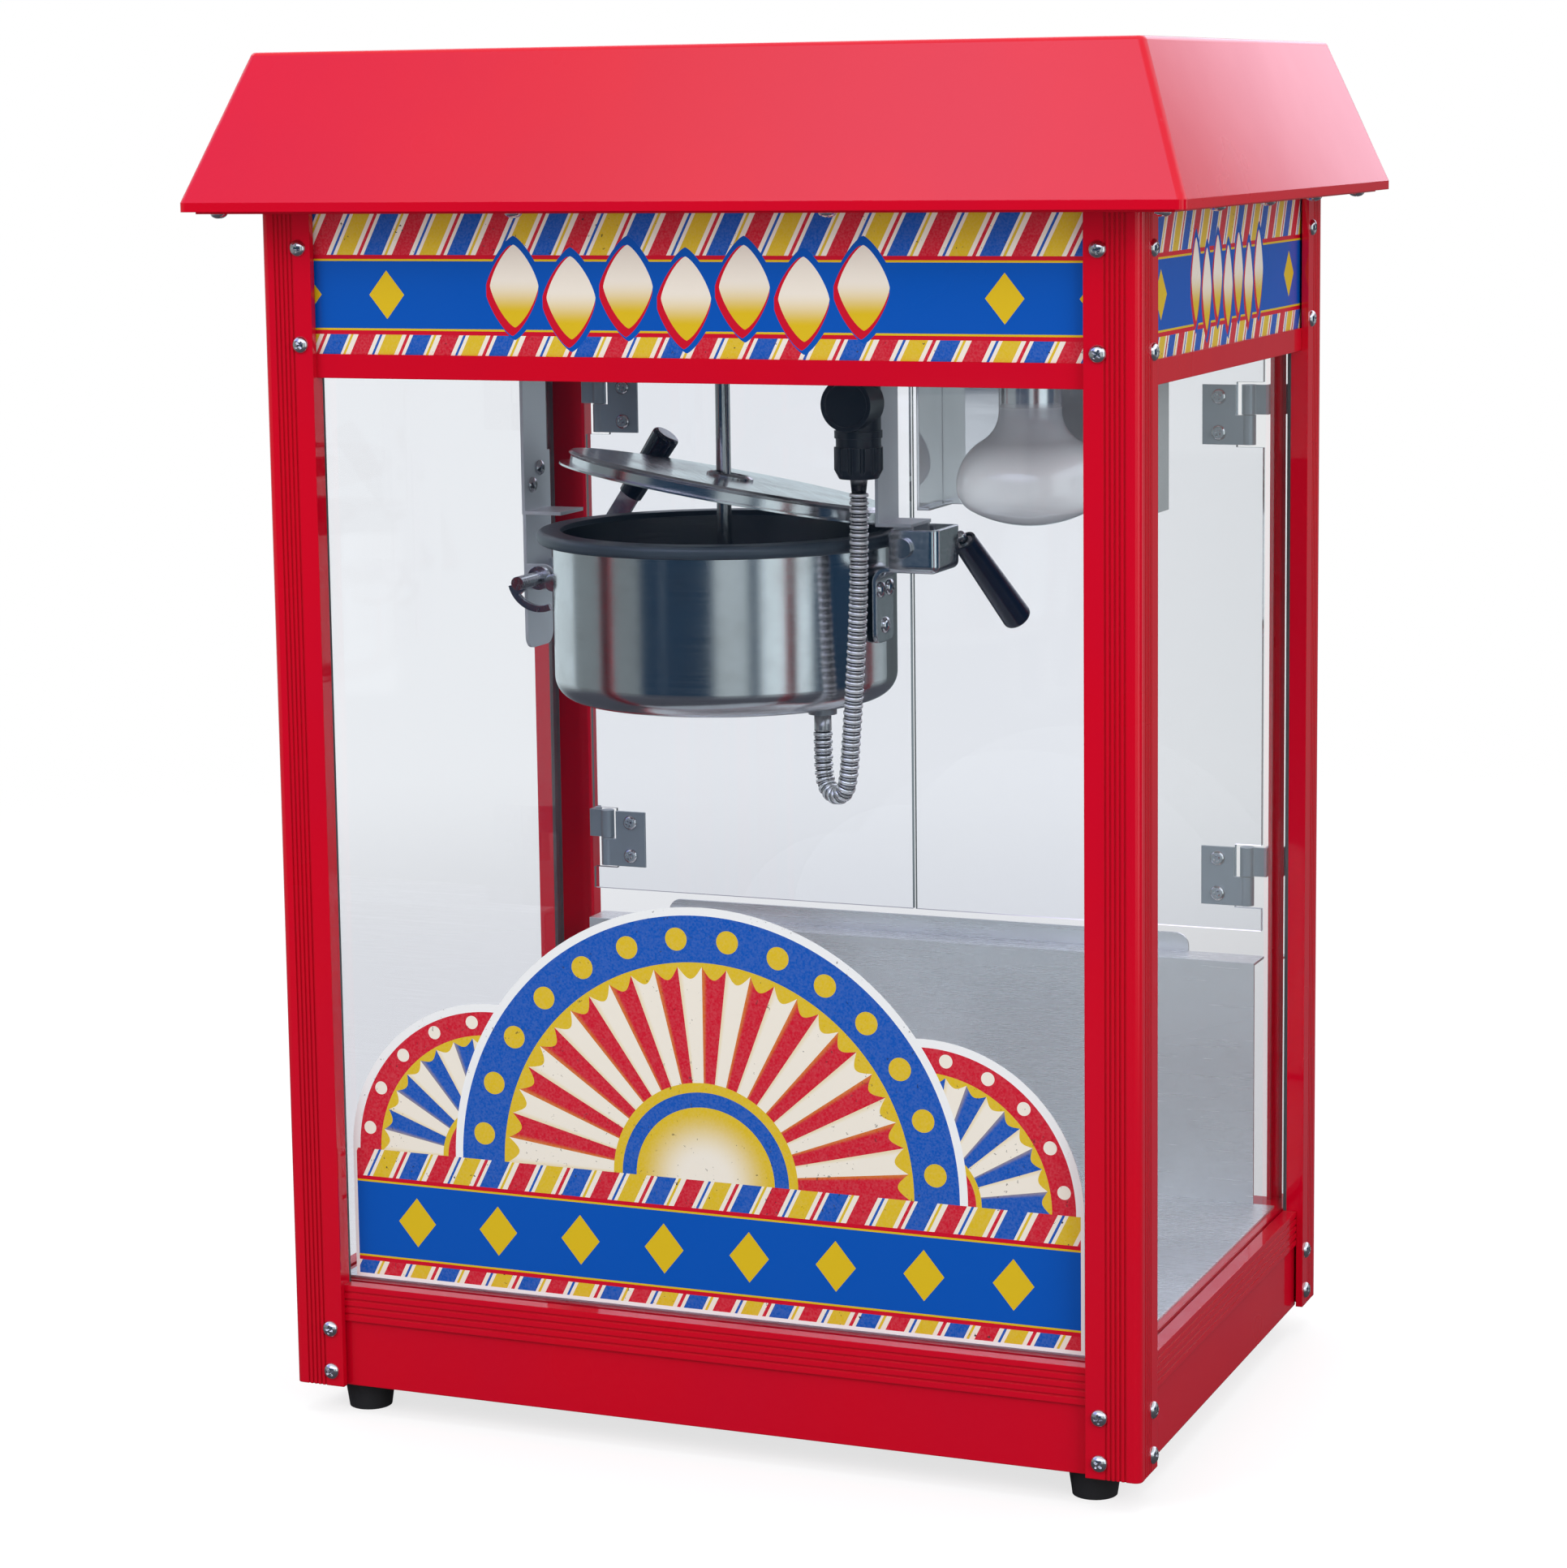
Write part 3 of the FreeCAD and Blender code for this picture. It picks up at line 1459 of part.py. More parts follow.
def lamp_bulb():
    def place(radius, height):
        return V(radius, 0, height + floor_z)

    ring = lamp_shoulder_radius
    inset = lamp_radius - ring
    shoulder = place(inset, lamp_widest)
    step = lamp_neck_radius - inset
    flare = (lamp_flare_height ** 2 + step ** 2 - ring ** 2) / (2 * (ring - step))
    flare_centre = place(lamp_neck_radius + flare, lamp_neck_bottom)
    upper = shoulder + (flare_centre - shoulder).normalize() * ring
    edge = lamp_edge_radius
    inset = lamp_radius - edge
    corner = place(inset, lamp_widest)
    dome = (edge ** 2 - inset ** 2 - lamp_face_depth ** 2) / (2 * (edge - lamp_face_depth))
    dome_centre = place(0, lamp_bottom + dome)
    lower = corner + (corner - dome_centre).normalize() * edge
    widest = place(lamp_radius, lamp_widest)
    shoulder_middle = shoulder + ((upper + widest) * 0.5 - shoulder).normalize() * ring
    corner_middle = corner + ((lower + widest) * 0.5 - corner).normalize() * edge
    neck = place(lamp_neck_radius, lamp_neck_bottom)
    tip = place(0, lamp_bottom)
    flare_middle = flare_centre + ((neck + upper) * 0.5 - flare_centre).normalize() * flare
    dome_middle = dome_centre + ((tip + lower) * 0.5 - dome_centre).normalize() * dome
    cap_top = socket_bottom + lamp_cap_length
    corners = [
        tip,
        place(0, cap_top),
        place(lamp_cap_radius, cap_top),
        place(lamp_cap_radius, socket_bottom),
        place(lamp_neck_radius, socket_bottom),
        neck,
    ]
    outline = [Part.makeLine(start, end) for start, end in zip(corners, corners[1:])]
    outline.append(Part.Arc(neck, flare_middle, upper).toShape())
    outline.append(Part.Arc(upper, shoulder_middle, widest).toShape())
    outline.append(Part.Arc(widest, corner_middle, lower).toShape())
    outline.append(Part.Arc(lower, dome_middle, tip).toShape())
    bulb = Part.Face(Part.Wire(outline)).revolve(V(0, 0, 0), UP, 360)
    bulb.translate(V(lamp_x, lamp_y, 0))
    return bulb


def lamp_socket():
    low = socket_bottom
    flange_low = ceiling_z + sheet
    body = upright(lamp_x, lamp_y, low, low + socket_height, socket_radius - running_play)
    flange = upright(lamp_x, lamp_y, flange_low, flange_low + sheet, socket_radius + socket_flange)
    bore_top = low + lamp_cap_length + knuckle_gap
    bore = upright(lamp_x, lamp_y, low - 1, bore_top, lamp_cap_radius + glass_play)
    return body.fuse(flange).cut(bore).removeSplitter()


def lamp_reflector():
    left, right = reflector_left, reflector_right
    front, back = reflector_front, reflector_back
    low, high = reflector_bottom, ceiling_z
    left_wall = block(left, left + sheet, front, back, low, high)
    right_wall = block(right - sheet, right, front, back, low, high)
    back_wall = block(left, right, back - sheet, back, low, high)
    lip = block(left, left + reflector_lip, front, back, low, low + sheet)
    flange = block(left, right, back - sheet, back + reflector_lip, high - sheet, high)
    return left_wall.fuse([right_wall, back_wall, lip, flange]).removeSplitter()


def all_nodes():
    door = left_door_panel()
    clamps = left_door_clamps()
    nodes = {
        "corner_posts": corner_posts(),
        "post_screws": post_screws(),
        "base_rails": base_rails(),
        "head_rails": head_rails(),
        "top_frame": top_frame(),
        "front_sign": front_sign(),
        "side_signs": side_signs(),
        "control_panel": control_panel(),
        "switch_frames": switch_frames(),
        "mains_gland": mains_gland(),
        "roof_shell": roof_shell(),
        "roof_base": roof_base(),
        "roof_screws": roof_screws(),
        "feet": feet(),
        "base_plate": base_plate(),
        "deck_plate": deck_plate(),
        "rear_dam": rear_dam(),
        "crumb_drawer": crumb_drawer(),
        "front_glass": front_glass(),
        "side_glass": side_glass(),
        "glass_seals": glass_seals(),
        "front_print": front_print(),
        "door_hinges": door_hinges(),
        "left_door": door,
        "left_door_clamps": group(clamps),
        "right_door": mirrored(door, RIGHT),
        "right_door_clamps": group([mirrored(solid, RIGHT) for solid in clamps]),
        "ceiling_plate": ceiling_plate(),
        "right_hanger": right_hanger(),
        "left_hanger": left_hanger(),
        "latch_carrier": latch_carrier(),
        "hanger_screws": hanger_screws(),
        "pivot_pin": pivot_pin(),
        "gear_motor": gear_motor(),
        "lamp_bulb": lamp_bulb(),
        "lamp_socket": lamp_socket(),
        "lamp_reflector": lamp_reflector(),
        "conduit_elbow": conduit_elbow(),
        "gland_nut": gland_nut(),
        "kettle_conduit": kettle_conduit(),
        "kettle_shell": kettle_shell(),
        "kettle_pan": kettle_pan(),
        "kettle_rim": kettle_rim(),
        "heating_element": heating_element(),
        "kettle_bracket": kettle_bracket(),
        "kettle_screws": kettle_screws(),
        "kettle_catch": kettle_catch(),
        "kettle_gland": kettle_gland(),
        "dump_rod": dump_rod(),
        "dump_grip": dump_grip(),
        "latch_shaft": latch_shaft(),
        "latch_lever": latch_lever(),
        "latch_grip": latch_grip(),
        "lid": lid(),
        "lid_bush": lid_bush(),
        "stirrer_shaft": stirrer_shaft(),
        "stirrer_blade": stirrer_blade(),
    }
    for name, x in zip(("lamp_rocker", "stir_rocker", "heat_rocker"), rocker_places()):
        nodes[name] = rocker(x)
    return nodes


def main():
    os.makedirs("parts", exist_ok=True)
    for name, shape in all_nodes().items():
        shape.exportStep("parts/" + name + ".step")


main()
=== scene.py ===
import math

import bmesh
import bpy
from mathutils import Matrix, Vector


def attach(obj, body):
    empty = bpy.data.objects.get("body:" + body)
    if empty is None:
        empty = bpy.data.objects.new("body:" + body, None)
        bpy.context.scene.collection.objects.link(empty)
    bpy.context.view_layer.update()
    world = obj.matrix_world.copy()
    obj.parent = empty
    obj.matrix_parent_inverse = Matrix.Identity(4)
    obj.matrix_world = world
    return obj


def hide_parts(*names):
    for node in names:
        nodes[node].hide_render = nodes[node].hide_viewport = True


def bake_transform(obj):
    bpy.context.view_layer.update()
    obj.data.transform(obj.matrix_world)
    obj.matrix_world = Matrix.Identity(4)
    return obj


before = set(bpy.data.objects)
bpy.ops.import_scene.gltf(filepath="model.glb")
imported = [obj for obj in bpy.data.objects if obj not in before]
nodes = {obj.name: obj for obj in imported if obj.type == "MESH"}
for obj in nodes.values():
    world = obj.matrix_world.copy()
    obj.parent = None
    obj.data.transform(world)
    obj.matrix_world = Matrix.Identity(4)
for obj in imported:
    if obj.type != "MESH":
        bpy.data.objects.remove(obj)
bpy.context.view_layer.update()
# Lengths are in millimetres and angles in degrees, unless a comment says otherwise
MM = 0.001

# Camera, fitted to the photographed corners of the cabinet, with its place in metres
image_height = 1932
camera_place = (0.82811, -2.07311, 0.72511)
camera_azimuth = 22.215
camera_fall = 8.3554
camera_roll = -0.7539
camera_pixels = 4893.3
camera_shift_y = -0.06
camera_clip_end = 60.0
sensor = 36.0

# Ribbed conduit: its two ends, and the share of the way across and the drop at each point between them
conduit_start = (50.065, -53.881, 523.7)
conduit_end = (18.367, -31.477, 389.0)
conduit_end_tail = 16.4
conduit_lean = (
    (0.0, 0.0),
    (0.0, 43.0),
    (0.09, 92.0),
    (0.25, 142.0),
    (0.35, 171.8),
    (0.536, 179.0),
    (0.798, 179.0),
    (0.984, 171.8),
)
conduit_radius = 5.4
conduit_rib_pitch = 4.28
conduit_plain_end = 8.0
conduit_sides = 20
conduit_resolution = 48
# Size and height of the plain ring at each end
conduit_end_ring = (0.90, 0.6)
# Share of the pitch, size and height of each ring in one turn: a broad rib, a groove and a lower rib; the
# height is the rib value, low in the grooves, where it paints shade
conduit_turn = (
    (0.0, 0.74, 0.0),
    (0.05, 0.98, 0.9),
    (0.25, 1.0, 1.0),
    (0.45, 0.98, 0.9),
    (0.50, 0.74, 0.0),
    (0.60, 0.75, 0.0),
    (0.66, 0.90, 0.62),
    (0.88, 0.90, 0.62),
)

# Cross-head screws
screw_radius = 4.7
screw_height = 2.7
screw_segments = 28
screw_rings = 14
screw_first_turn = 20
screw_next_turn = 47
screw_sharp_angle = 35
recess_length = 5.0
recess_width = 1.15
recess_depth = 1.5

# Points closer than this, in metres, are one point
weld_distance = 1e-6

# Kettle, lamp and switch places that the finishes use
kettle_axis_x = -53.0
lamp_widest_z = 522.8
lamp_neck_z = 566.0
switch_pitch = 60.0
switch_axis_z = 627.0
switch_mark_rise = 6.2
switch_ring = (1.8, 2.6)
switch_bar_half = (0.45, 2.4)

# Printed head signs, millimetres up from the panel's lower edge
sign_base_z = 596.0
sign_band = (14.0, 50.0)
sign_line = 1.1
stripe_pitch = 50.0
stripe_lean = 0.5
diamond_pitch = 50.0
diamond_half = (10.5, 13.0)
diamond_free_half = 140.0
side_sign_scale = 0.62
garland_count = 7
garland_pitch = 33.0
garland_half = (15.0, 23.0)
garland_bounce = 3.0
garland_lift = 2
garland_power = 1.35
garland_tall_growth = 1.5
garland_fade = (-14.0, 4.0)
# Shift across, shift up and growth of the garland's three layers
garland_shadow = (0.0, -1.0, 3.0)
garland_edge = (-1.6, -2.4, 0.6)
garland_face = (0.0, 0.0, -0.8)

# Printed fans on the front glass, millimetres up from the film's lower edge
film_base_z = 79.0
film_half_width = 214.0
film_band_height = 74.0
film_blue = (13.0, 55.0)
film_border = 4.5
film_edge = 2.0
film_diamond_growth = 1
film_flecks = 0.6
main_fan_radius = 150.0
main_fan_rays = 26
side_fan_radius = 88.0
side_fan_rays = 18
# Shares of a fan's radius, from its middle out
fan_glow_fade = (0.26, 0.08)
fan_glow = 0.27
fan_core = 0.325
fan_core_line = 0.36
fan_ray = 0.785
fan_ray_line = 0.80
fan_dot_ring = 0.885
fan_dot_radius = 0.042
fan_scallop = 0.045
fan_pleat_shade = (0.75, 1.0, 0.0, 0.35)

RED = (0.62, 0.0003, 0.014, 1)
RED_PATCH = (0.595, 0.0003, 0.017, 1)
RED_EDGE_WEAR_AND_HIGHLIGHT = (0.66, 0.006, 0.014, 1)
RED_DUST = (0.62, 0.40, 0.38, 1)
PRINT_RED = (0.60, 0.003, 0.024, 1)
PRINT_BLUE = (0.0, 0.085, 0.46, 1)
PRINT_YELLOW = (0.70, 0.48, 0.012, 1)
PRINT_CREAM = (0.86, 0.80, 0.70, 1)
PRINT_WHITE = (0.86, 0.87, 0.88, 1)
PRINT_BLACK = (0.02, 0.018, 0.02, 1)

# First and last share of the stripe pitch that each ink covers
stripe_runs = (
    (0.04, 0.25, PRINT_RED),
    (0.30, 0.33, PRINT_BLUE),
    (0.37, 0.57, PRINT_YELLOW),
    (0.62, 0.66, PRINT_RED),
    (0.70, 0.92, PRINT_BLUE),
    (0.95, 0.98, PRINT_YELLOW),
)

STEEL_EDGE_WEAR_AND_HIGHLIGHT = (0.88, 0.88, 0.89, 1)
SPUN_STEEL = (0.70, 0.70, 0.71, 1)
SPUN_SOIL = (0.60, 0.59, 0.58, 1)
SPUN_RINGS = (0.80, 0.80, 0.81, 1)
GREY_DUST = (0.42, 0.41, 0.40, 1)
PANE_SHADOW = (0.95, 0.97, 0.98, 1)
LAMP_FACE = (0.97, 0.99, 1.0, 1)
LAMP_GREYER_SHOULDER = (0.55, 0.58, 0.62, 1)
LAMP_SILVER = (0.86, 0.87, 0.89, 1)
LAMP_MOTTLE = (0.78, 0.81, 0.84, 1)
SWITCH_BLACK = (0.012, 0.012, 0.014, 1)
SWITCH_MARK = (0.8, 0.8, 0.78, 1)
# Near black: painted shade in the conduit's grooves
CONDUIT_GROOVE_SHADE = (0.012, 0.012, 0.016, 1)
CONDUIT_RIB = (0.93, 0.93, 0.94, 1)
CONDUIT_SOIL = (0.50, 0.47, 0.42, 1)

# The studio as glossy surfaces mirror it; its heights are the upward part of the view direction
STUDIO_DARK = (0.018, 0.045, 0.085, 1)
REAR_WALL = (0.42, 0.41, 0.46, 1)
REAR_STRIP = (1.9, 1.75, 2.1, 1)
CARD = (0.88, 0.91, 0.96, 1)
SKY = (1.45, 1.5, 1.66, 1)
SKY_DIM = (0.5, 0.55, 1.2, 1)
SKY_BRIGHT = (2.0, 2.05, 2.7, 1)
SKY_TOP = (0.85, 0.88, 0.95, 1)
GROUND = (0.42, 0.43, 0.46, 1)

# First and last bearing of each mirrored soft box, in degrees from the front to the right, and its brightness
box_tint = (0.90, 1.0, 1.02)
box_edge = 3
glossy_boxes = (
    (-166, -98, 0.90),
    (-98, -36, 0.30),
    (15, 38, 0.65),
    (46, 82, 1.1),
    (128, 157, 0.6),
    (157, 183, 0.12),
    (-183, -166, 0.12),
)

# A small white card that the lamp's polished reflector mirrors, with soft edges in bearing and in height
card_bearings = (-20.7, -20.4, -18.75, -18.6)
card_heights = (-0.1005, -0.0985, -0.0725, -0.0715)

# The wall behind, a bright strip on it, and the sky with a dim side and a bright side
rear_bearing = 126
rear_strip_bearings = (166.5, 169.5)
rear_heights = (0.06, 0.12)
dim_bearings = (-110, -60, -40, -28)
bright_bearings = (-33, -24, 10, 40)
sky_heights = (0.24, 0.42)
overhead_heights = (0.62, 0.78)
ground_heights = (-0.34, -0.42)

# The studio's light on everything else, and its floor in metres
EVEN_LIGHT = (0.74, 0.75, 0.77, 1)
WHITE = (1, 1, 1, 1)
FLOOR = (0.30, 0.30, 0.30, 1)
FLOOR_MIRRORED = (0.03, 0.03, 0.04, 1)
floor_radius = 4.0
floor_segments = 96
floor_fade = (0.9, 2.2)
floor_glow_seen = 0.72
floor_glow_mirrored = 0.03


class Field:
    """A number that changes over a surface, written as plain arithmetic on node sockets."""

    def __init__(self, tree, socket):
        self.tree = tree
        self.socket = socket

    def math(self, operation, *others):
        made = self.tree.nodes.new("ShaderNodeMath")
        made.operation = operation
        for index, value in enumerate((self,) + others):
            join(self.tree, value, made.inputs[index])
        return Field(self.tree, made.outputs[0])

    def __add__(self, other):
        return self.math("ADD", other)

    def __sub__(self, other):
        return self.math("SUBTRACT", other)

    def __mul__(self, other):
        return self.math("MULTIPLY", other)

    def __truediv__(self, other):
        return self.math("DIVIDE", other)

    def __neg__(self):
        return self.math("MULTIPLY", -1.0)

    def __abs__(self):
        return self.math("ABSOLUTE")

    def fract(self):
        return self.math("FRACT")

    def floor(self):
        return self.math("FLOOR")

    def root(self):
        return self.math("SQRT")

    def sine(self):
        return self.math("SINE")

    def power(self, other):
        return self.math("POWER", other)

    def angle_over(self, other):
        return self.math("ARCTAN2", other)

    def below(self, other):
        return self.math("LESS_THAN", other)

    def above(self, other):
        return self.math("GREATER_THAN", other)

    def between(self, low, high):
        return self.above(low) * self.below(high)

    def either(self, other):
        return self.math("MAXIMUM", other)

    def flipped(self):
        return -self + 1.0

    def ramped(self, low, high, start=0.0, end=1.0):
        made = self.tree.nodes.new("ShaderNodeMapRange")
        made.interpolation_type = "SMOOTHSTEP"
        self.tree.links.new(self.socket, made.inputs[0])
        for index, value in enumerate((low, high, start, end), 1):
            made.inputs[index].default_value = value
        return Field(self.tree, made.outputs[0])

    def window(self, start, full, last, end):
        return self.ramped(start, full) * self.ramped(last, end).flipped()


def place(tree, kind, inputs=None, **settings):
    made = tree.nodes.new(kind)
    for name, value in settings.items():
        setattr(made, name, value)
    for name, value in (inputs or {}).items():
        join(tree, value, made.inputs[name])
    return made


def join(tree, value, socket):
    if isinstance(value, Field):
        value = value.socket
    if isinstance(value, bpy.types.NodeSocket):
        tree.links.new(value, socket)
    else:
        socket.default_value = value


def painted(tree, under, over, mask):
    made = tree.nodes.new("ShaderNodeMix")
    made.data_type = "RGBA"
    join(tree, mask, made.inputs[0])
    join(tree, under, made.inputs[6])
    join(tree, over, made.inputs[7])
    return made.outputs[2]


def noise(tree, vector, scale, detail=2.0, roughness=0.5):
    inputs = {"Vector": vector, "Scale": scale, "Detail": detail, "Roughness": roughness}
    return Field(tree, place(tree, "ShaderNodeTexNoise", inputs).outputs["Fac"])


def new_group(name, inputs, outputs):
    tree = bpy.data.node_groups.new(name, "ShaderNodeTree")
    for label, kind, value in inputs:
        socket = tree.interface.new_socket(label, in_out="INPUT", socket_type=kind)
        if value is not None:
            socket.default_value = value
    for label, kind in outputs:
        tree.interface.new_socket(label, in_out="OUTPUT", socket_type=kind)
    entry = tree.nodes.new("NodeGroupInput")
    leave = tree.nodes.new("NodeGroupOutput")
    return tree, entry.outputs, leave.inputs


def use(tree, group, inputs):
    made = tree.nodes.new("ShaderNodeGroup")
    made.node_tree = group
    for name, value in inputs.items():
        join(tree, value, made.inputs[name])
    return made.outputs


NUMBER = "NodeSocketFloat"
COLOUR = "NodeSocketColor"
VECTOR = "NodeSocketVector"


def make_grain():
    # Fine surface texture, stretched along a chosen direction
    inputs = [("Vector", VECTOR, None), ("Stretch", VECTOR, (1, 1, 1)), ("Scale", NUMBER, 400.0)]
    tree, entry, leave = new_group("Surface grain", inputs, [("Grain", NUMBER), ("Patch", NUMBER)])
    scaled = place(tree, "ShaderNodeVectorMath", operation="MULTIPLY")
    tree.links.new(entry["Vector"], scaled.inputs[0])
    tree.links.new(entry["Stretch"], scaled.inputs[1])
    join(tree, noise(tree, scaled.outputs[0], entry["Scale"], detail=3.0, roughness=0.6), leave["Grain"])
    join(tree, noise(tree, entry["Vector"], scale=9.0, detail=3.0, roughness=0.55), leave["Patch"])
    return tree


def make_edges():
    # Rounded look of edges and a mask of where they are
    outputs = [("Edge", NUMBER), ("Normal", VECTOR)]
    tree, entry, leave = new_group("Soft edges", [("Radius", NUMBER, 0.0006)], outputs)
    bevel = place(tree, "ShaderNodeBevel", {"Radius": entry["Radius"]}, samples=4)
    flat = place(tree, "ShaderNodeNewGeometry")
    dot = place(tree, "ShaderNodeVectorMath", operation="DOT_PRODUCT")
    tree.links.new(bevel.outputs[0], dot.inputs[0])
    tree.links.new(flat.outputs["Normal"], dot.inputs[1])
    join(tree, Field(tree, dot.outputs["Value"]).ramped(0.995, 0.85), leave["Edge"])
    join(tree, bevel.outputs[0], leave["Normal"])
    return tree


def make_dust():
    # Thin dust that settles on surfaces that face up
    inputs = [("Vector", VECTOR, None), ("Amount", NUMBER, 0.3)]
    tree, entry, leave = new_group("Settled dust", inputs, [("Dust", NUMBER)])
    flat = place(tree, "ShaderNodeNewGeometry")
    split = place(tree, "ShaderNodeSeparateXYZ", {"Vector": flat.outputs["Normal"]})
    facing = Field(tree, split.outputs["Z"]).ramped(0.55, 1.0)
    cloud = noise(tree, entry["Vector"], scale=26.0, detail=4.0, roughness=0.65).ramped(0.35, 0.75)
    join(tree, facing * cloud * Field(tree, entry["Amount"]), leave["Dust"])
    return tree


def make_stripes():
    # Slanted stripes in three inks on cream
    tree, entry, leave = new_group("Print stripes", [("U", NUMBER, 0), ("V", NUMBER, 0)], [("Color", COLOUR)])
    across = Field(tree, entry["U"])
    up = Field(tree, entry["V"])
    share = ((across - up * stripe_lean) / stripe_pitch).fract()
    colour = PRINT_CREAM
    for low, high, ink in stripe_runs:
        colour = painted(tree, colour, ink, share.between(low, high))
    join(tree, colour, leave["Color"])
    return tree


def make_worn_print():
    # Small black flecks and a faint mottling in the ink
    inputs = [("Vector", VECTOR, None), ("Color", COLOUR, None), ("Flecks", NUMBER, 1.0)]
    tree, entry, leave = new_group("Worn print", inputs, [("Color", COLOUR)])
    fleck = noise(tree, entry["Vector"], scale=330.0, detail=3.0, roughness=0.7).above(0.665)
    cluster = noise(tree, entry["Vector"], scale=38.0).above(0.5)
    mask = fleck * cluster * Field(tree, entry["Flecks"])
    inked = painted(tree, entry["Color"], PRINT_BLACK, mask)
    mottle = noise(tree, entry["Vector"], scale=900.0, detail=1.0).ramped(0.2, 0.8, 0.0, 0.05)
    join(tree, painted(tree, inked, PRINT_WHITE, mottle), leave["Color"])
    return tree


grain_group = make_grain()
edge_group = make_edges()
dust_group = make_dust()
stripe_group = make_stripes()
worn_group = make_worn_print()


def new_material(name):
    material = bpy.data.materials.new(name)
    material.use_nodes = True
    tree = material.node_tree
    shader = tree.nodes["Principled BSDF"]
    coords = place(tree, "ShaderNodeTexCoord").outputs["Object"]
    return material, tree, shader, coords


def set_sockets(tree, shader, **values):
    for name, value in values.items():
        join(tree, value, shader.inputs[name.replace("_", " ")])


def bumped(tree, height, strength, distance, normal=None):
    bump = place(tree, "ShaderNodeBump", {"Height": height, "Strength": strength, "Distance": distance})
    if normal is not None:
        tree.links.new(normal, bump.inputs["Normal"])
    return bump.outputs["Normal"]


def in_millimetres(tree, coords):
    split = place(tree, "ShaderNodeSeparateXYZ", {"Vector": coords})
    return [Field(tree, split.outputs[axis]) / MM for axis in ("X", "Y", "Z")]


def red_enamel():
    material, tree, shader, coords = new_material("Red enamel")
    grain = use(tree, grain_group, {"Vector": coords, "Scale": 260.0})
    edges = use(tree, edge_group, {"Radius": 0.0009})
    dust = use(tree, dust_group, {"Vector": coords, "Amount": 0.06})["Dust"]
    patch = Field(tree, grain["Patch"]).ramped(0.3, 0.7)
    tone = painted(tree, RED, RED_PATCH, patch)
    # Lighter red along edges, part wear and part painted highlight
    tone = painted(tree, tone, RED_EDGE_WEAR_AND_HIGHLIGHT, Field(tree, edges["Edge"]) * 0.5)
    tone = painted(tree, tone, RED_DUST, dust)
    set_sockets(
        tree,
        shader,
        Base_Color=tone,
        Roughness=Field(tree, grain["Patch"]).ramped(0.25, 0.75, 0.26, 0.34),
        Specular_IOR_Level=0.04,
        Coat_Weight=0.85,
        Coat_Roughness=0.025,
        Normal=bumped(tree, grain["Grain"], 0.03, 0.0003, edges["Normal"]),
    )
    return material


def banded(tree, colour, up, band):
    # A blue band edged by a yellow line and a red line
    low, high = band
    for margin, ink in ((3 * sign_line, PRINT_RED), (sign_line, PRINT_YELLOW), (0, PRINT_BLUE)):
        colour = painted(tree, colour, ink, up.between(low - margin, high + margin))
    return colour


def diamonds(across, up, band, growth=0):
    # Mask of a row of diamonds along the middle of a band
    local = ((across / diamond_pitch).fract() - 0.5) * diamond_pitch
    wide, tall = (half + growth for half in diamond_half)
    return (abs(local) / wide + abs(up - sum(band) / 2) / tall).below(1.0)


def sign_print(name, sideways):
    material, tree, shader, coords = new_material(name)
    x, y, z = in_millimetres(tree, coords)
    across = y if sideways else x
    up = z - sign_base_z
    stripes = use(tree, stripe_group, {"U": across, "V": up})["Color"]
    colour = use(tree, worn_group, {"Vector": coords, "Color": stripes})["Color"]
    colour = banded(tree, colour, up, sign_band)
    scale = side_sign_scale if sideways else 1.0
    outside = abs(across).above(diamond_free_half * scale)
    colour = painted(tree, colour, PRINT_YELLOW, diamonds(across, up, sign_band) * outside)
    pitch = garland_pitch * scale
    step = (across / pitch + 0.5).floor()
    bounce = ((step / 2).fract() * 4 - 1) * garland_bounce
    inside = abs(step).below(garland_count / 2)
    slip = across - step * pitch
    rise = up - bounce - (sum(sign_band) / 2 + garland_lift)
    fade = painted(tree, PRINT_YELLOW, PRINT_CREAM, rise.ramped(*garland_fade))
    layers = ((garland_shadow, PRINT_BLUE), (garland_edge, PRINT_RED), (garland_face, fade))
    for (dx, dz, growth), ink in layers:
        wide = (abs(slip - dx) / (garland_half[0] * scale + growth)).power(garland_power)
        tall = (abs(rise - dz) / (garland_half[1] + growth * garland_tall_growth)).power(garland_power)
        colour = painted(tree, colour, ink, (wide + tall).below(1.0) * inside)
    finish_print(tree, shader, coords, colour)
    return material


def finish_print(tree, shader, coords, colour):
    grain = use(tree, grain_group, {"Vector": coords, "Scale": 120.0})
    set_sockets(
        tree,
        shader,
        Base_Color=colour,
        Roughness=Field(tree, grain["Patch"]).ramped(0.2, 0.8, 0.24, 0.36),
        Specular_IOR_Level=0.15,
        Coat_Weight=0.25,
        Coat_Roughness=0.08,
        Normal=bumped(tree, grain["Grain"], 0.02, 0.0003),
    )


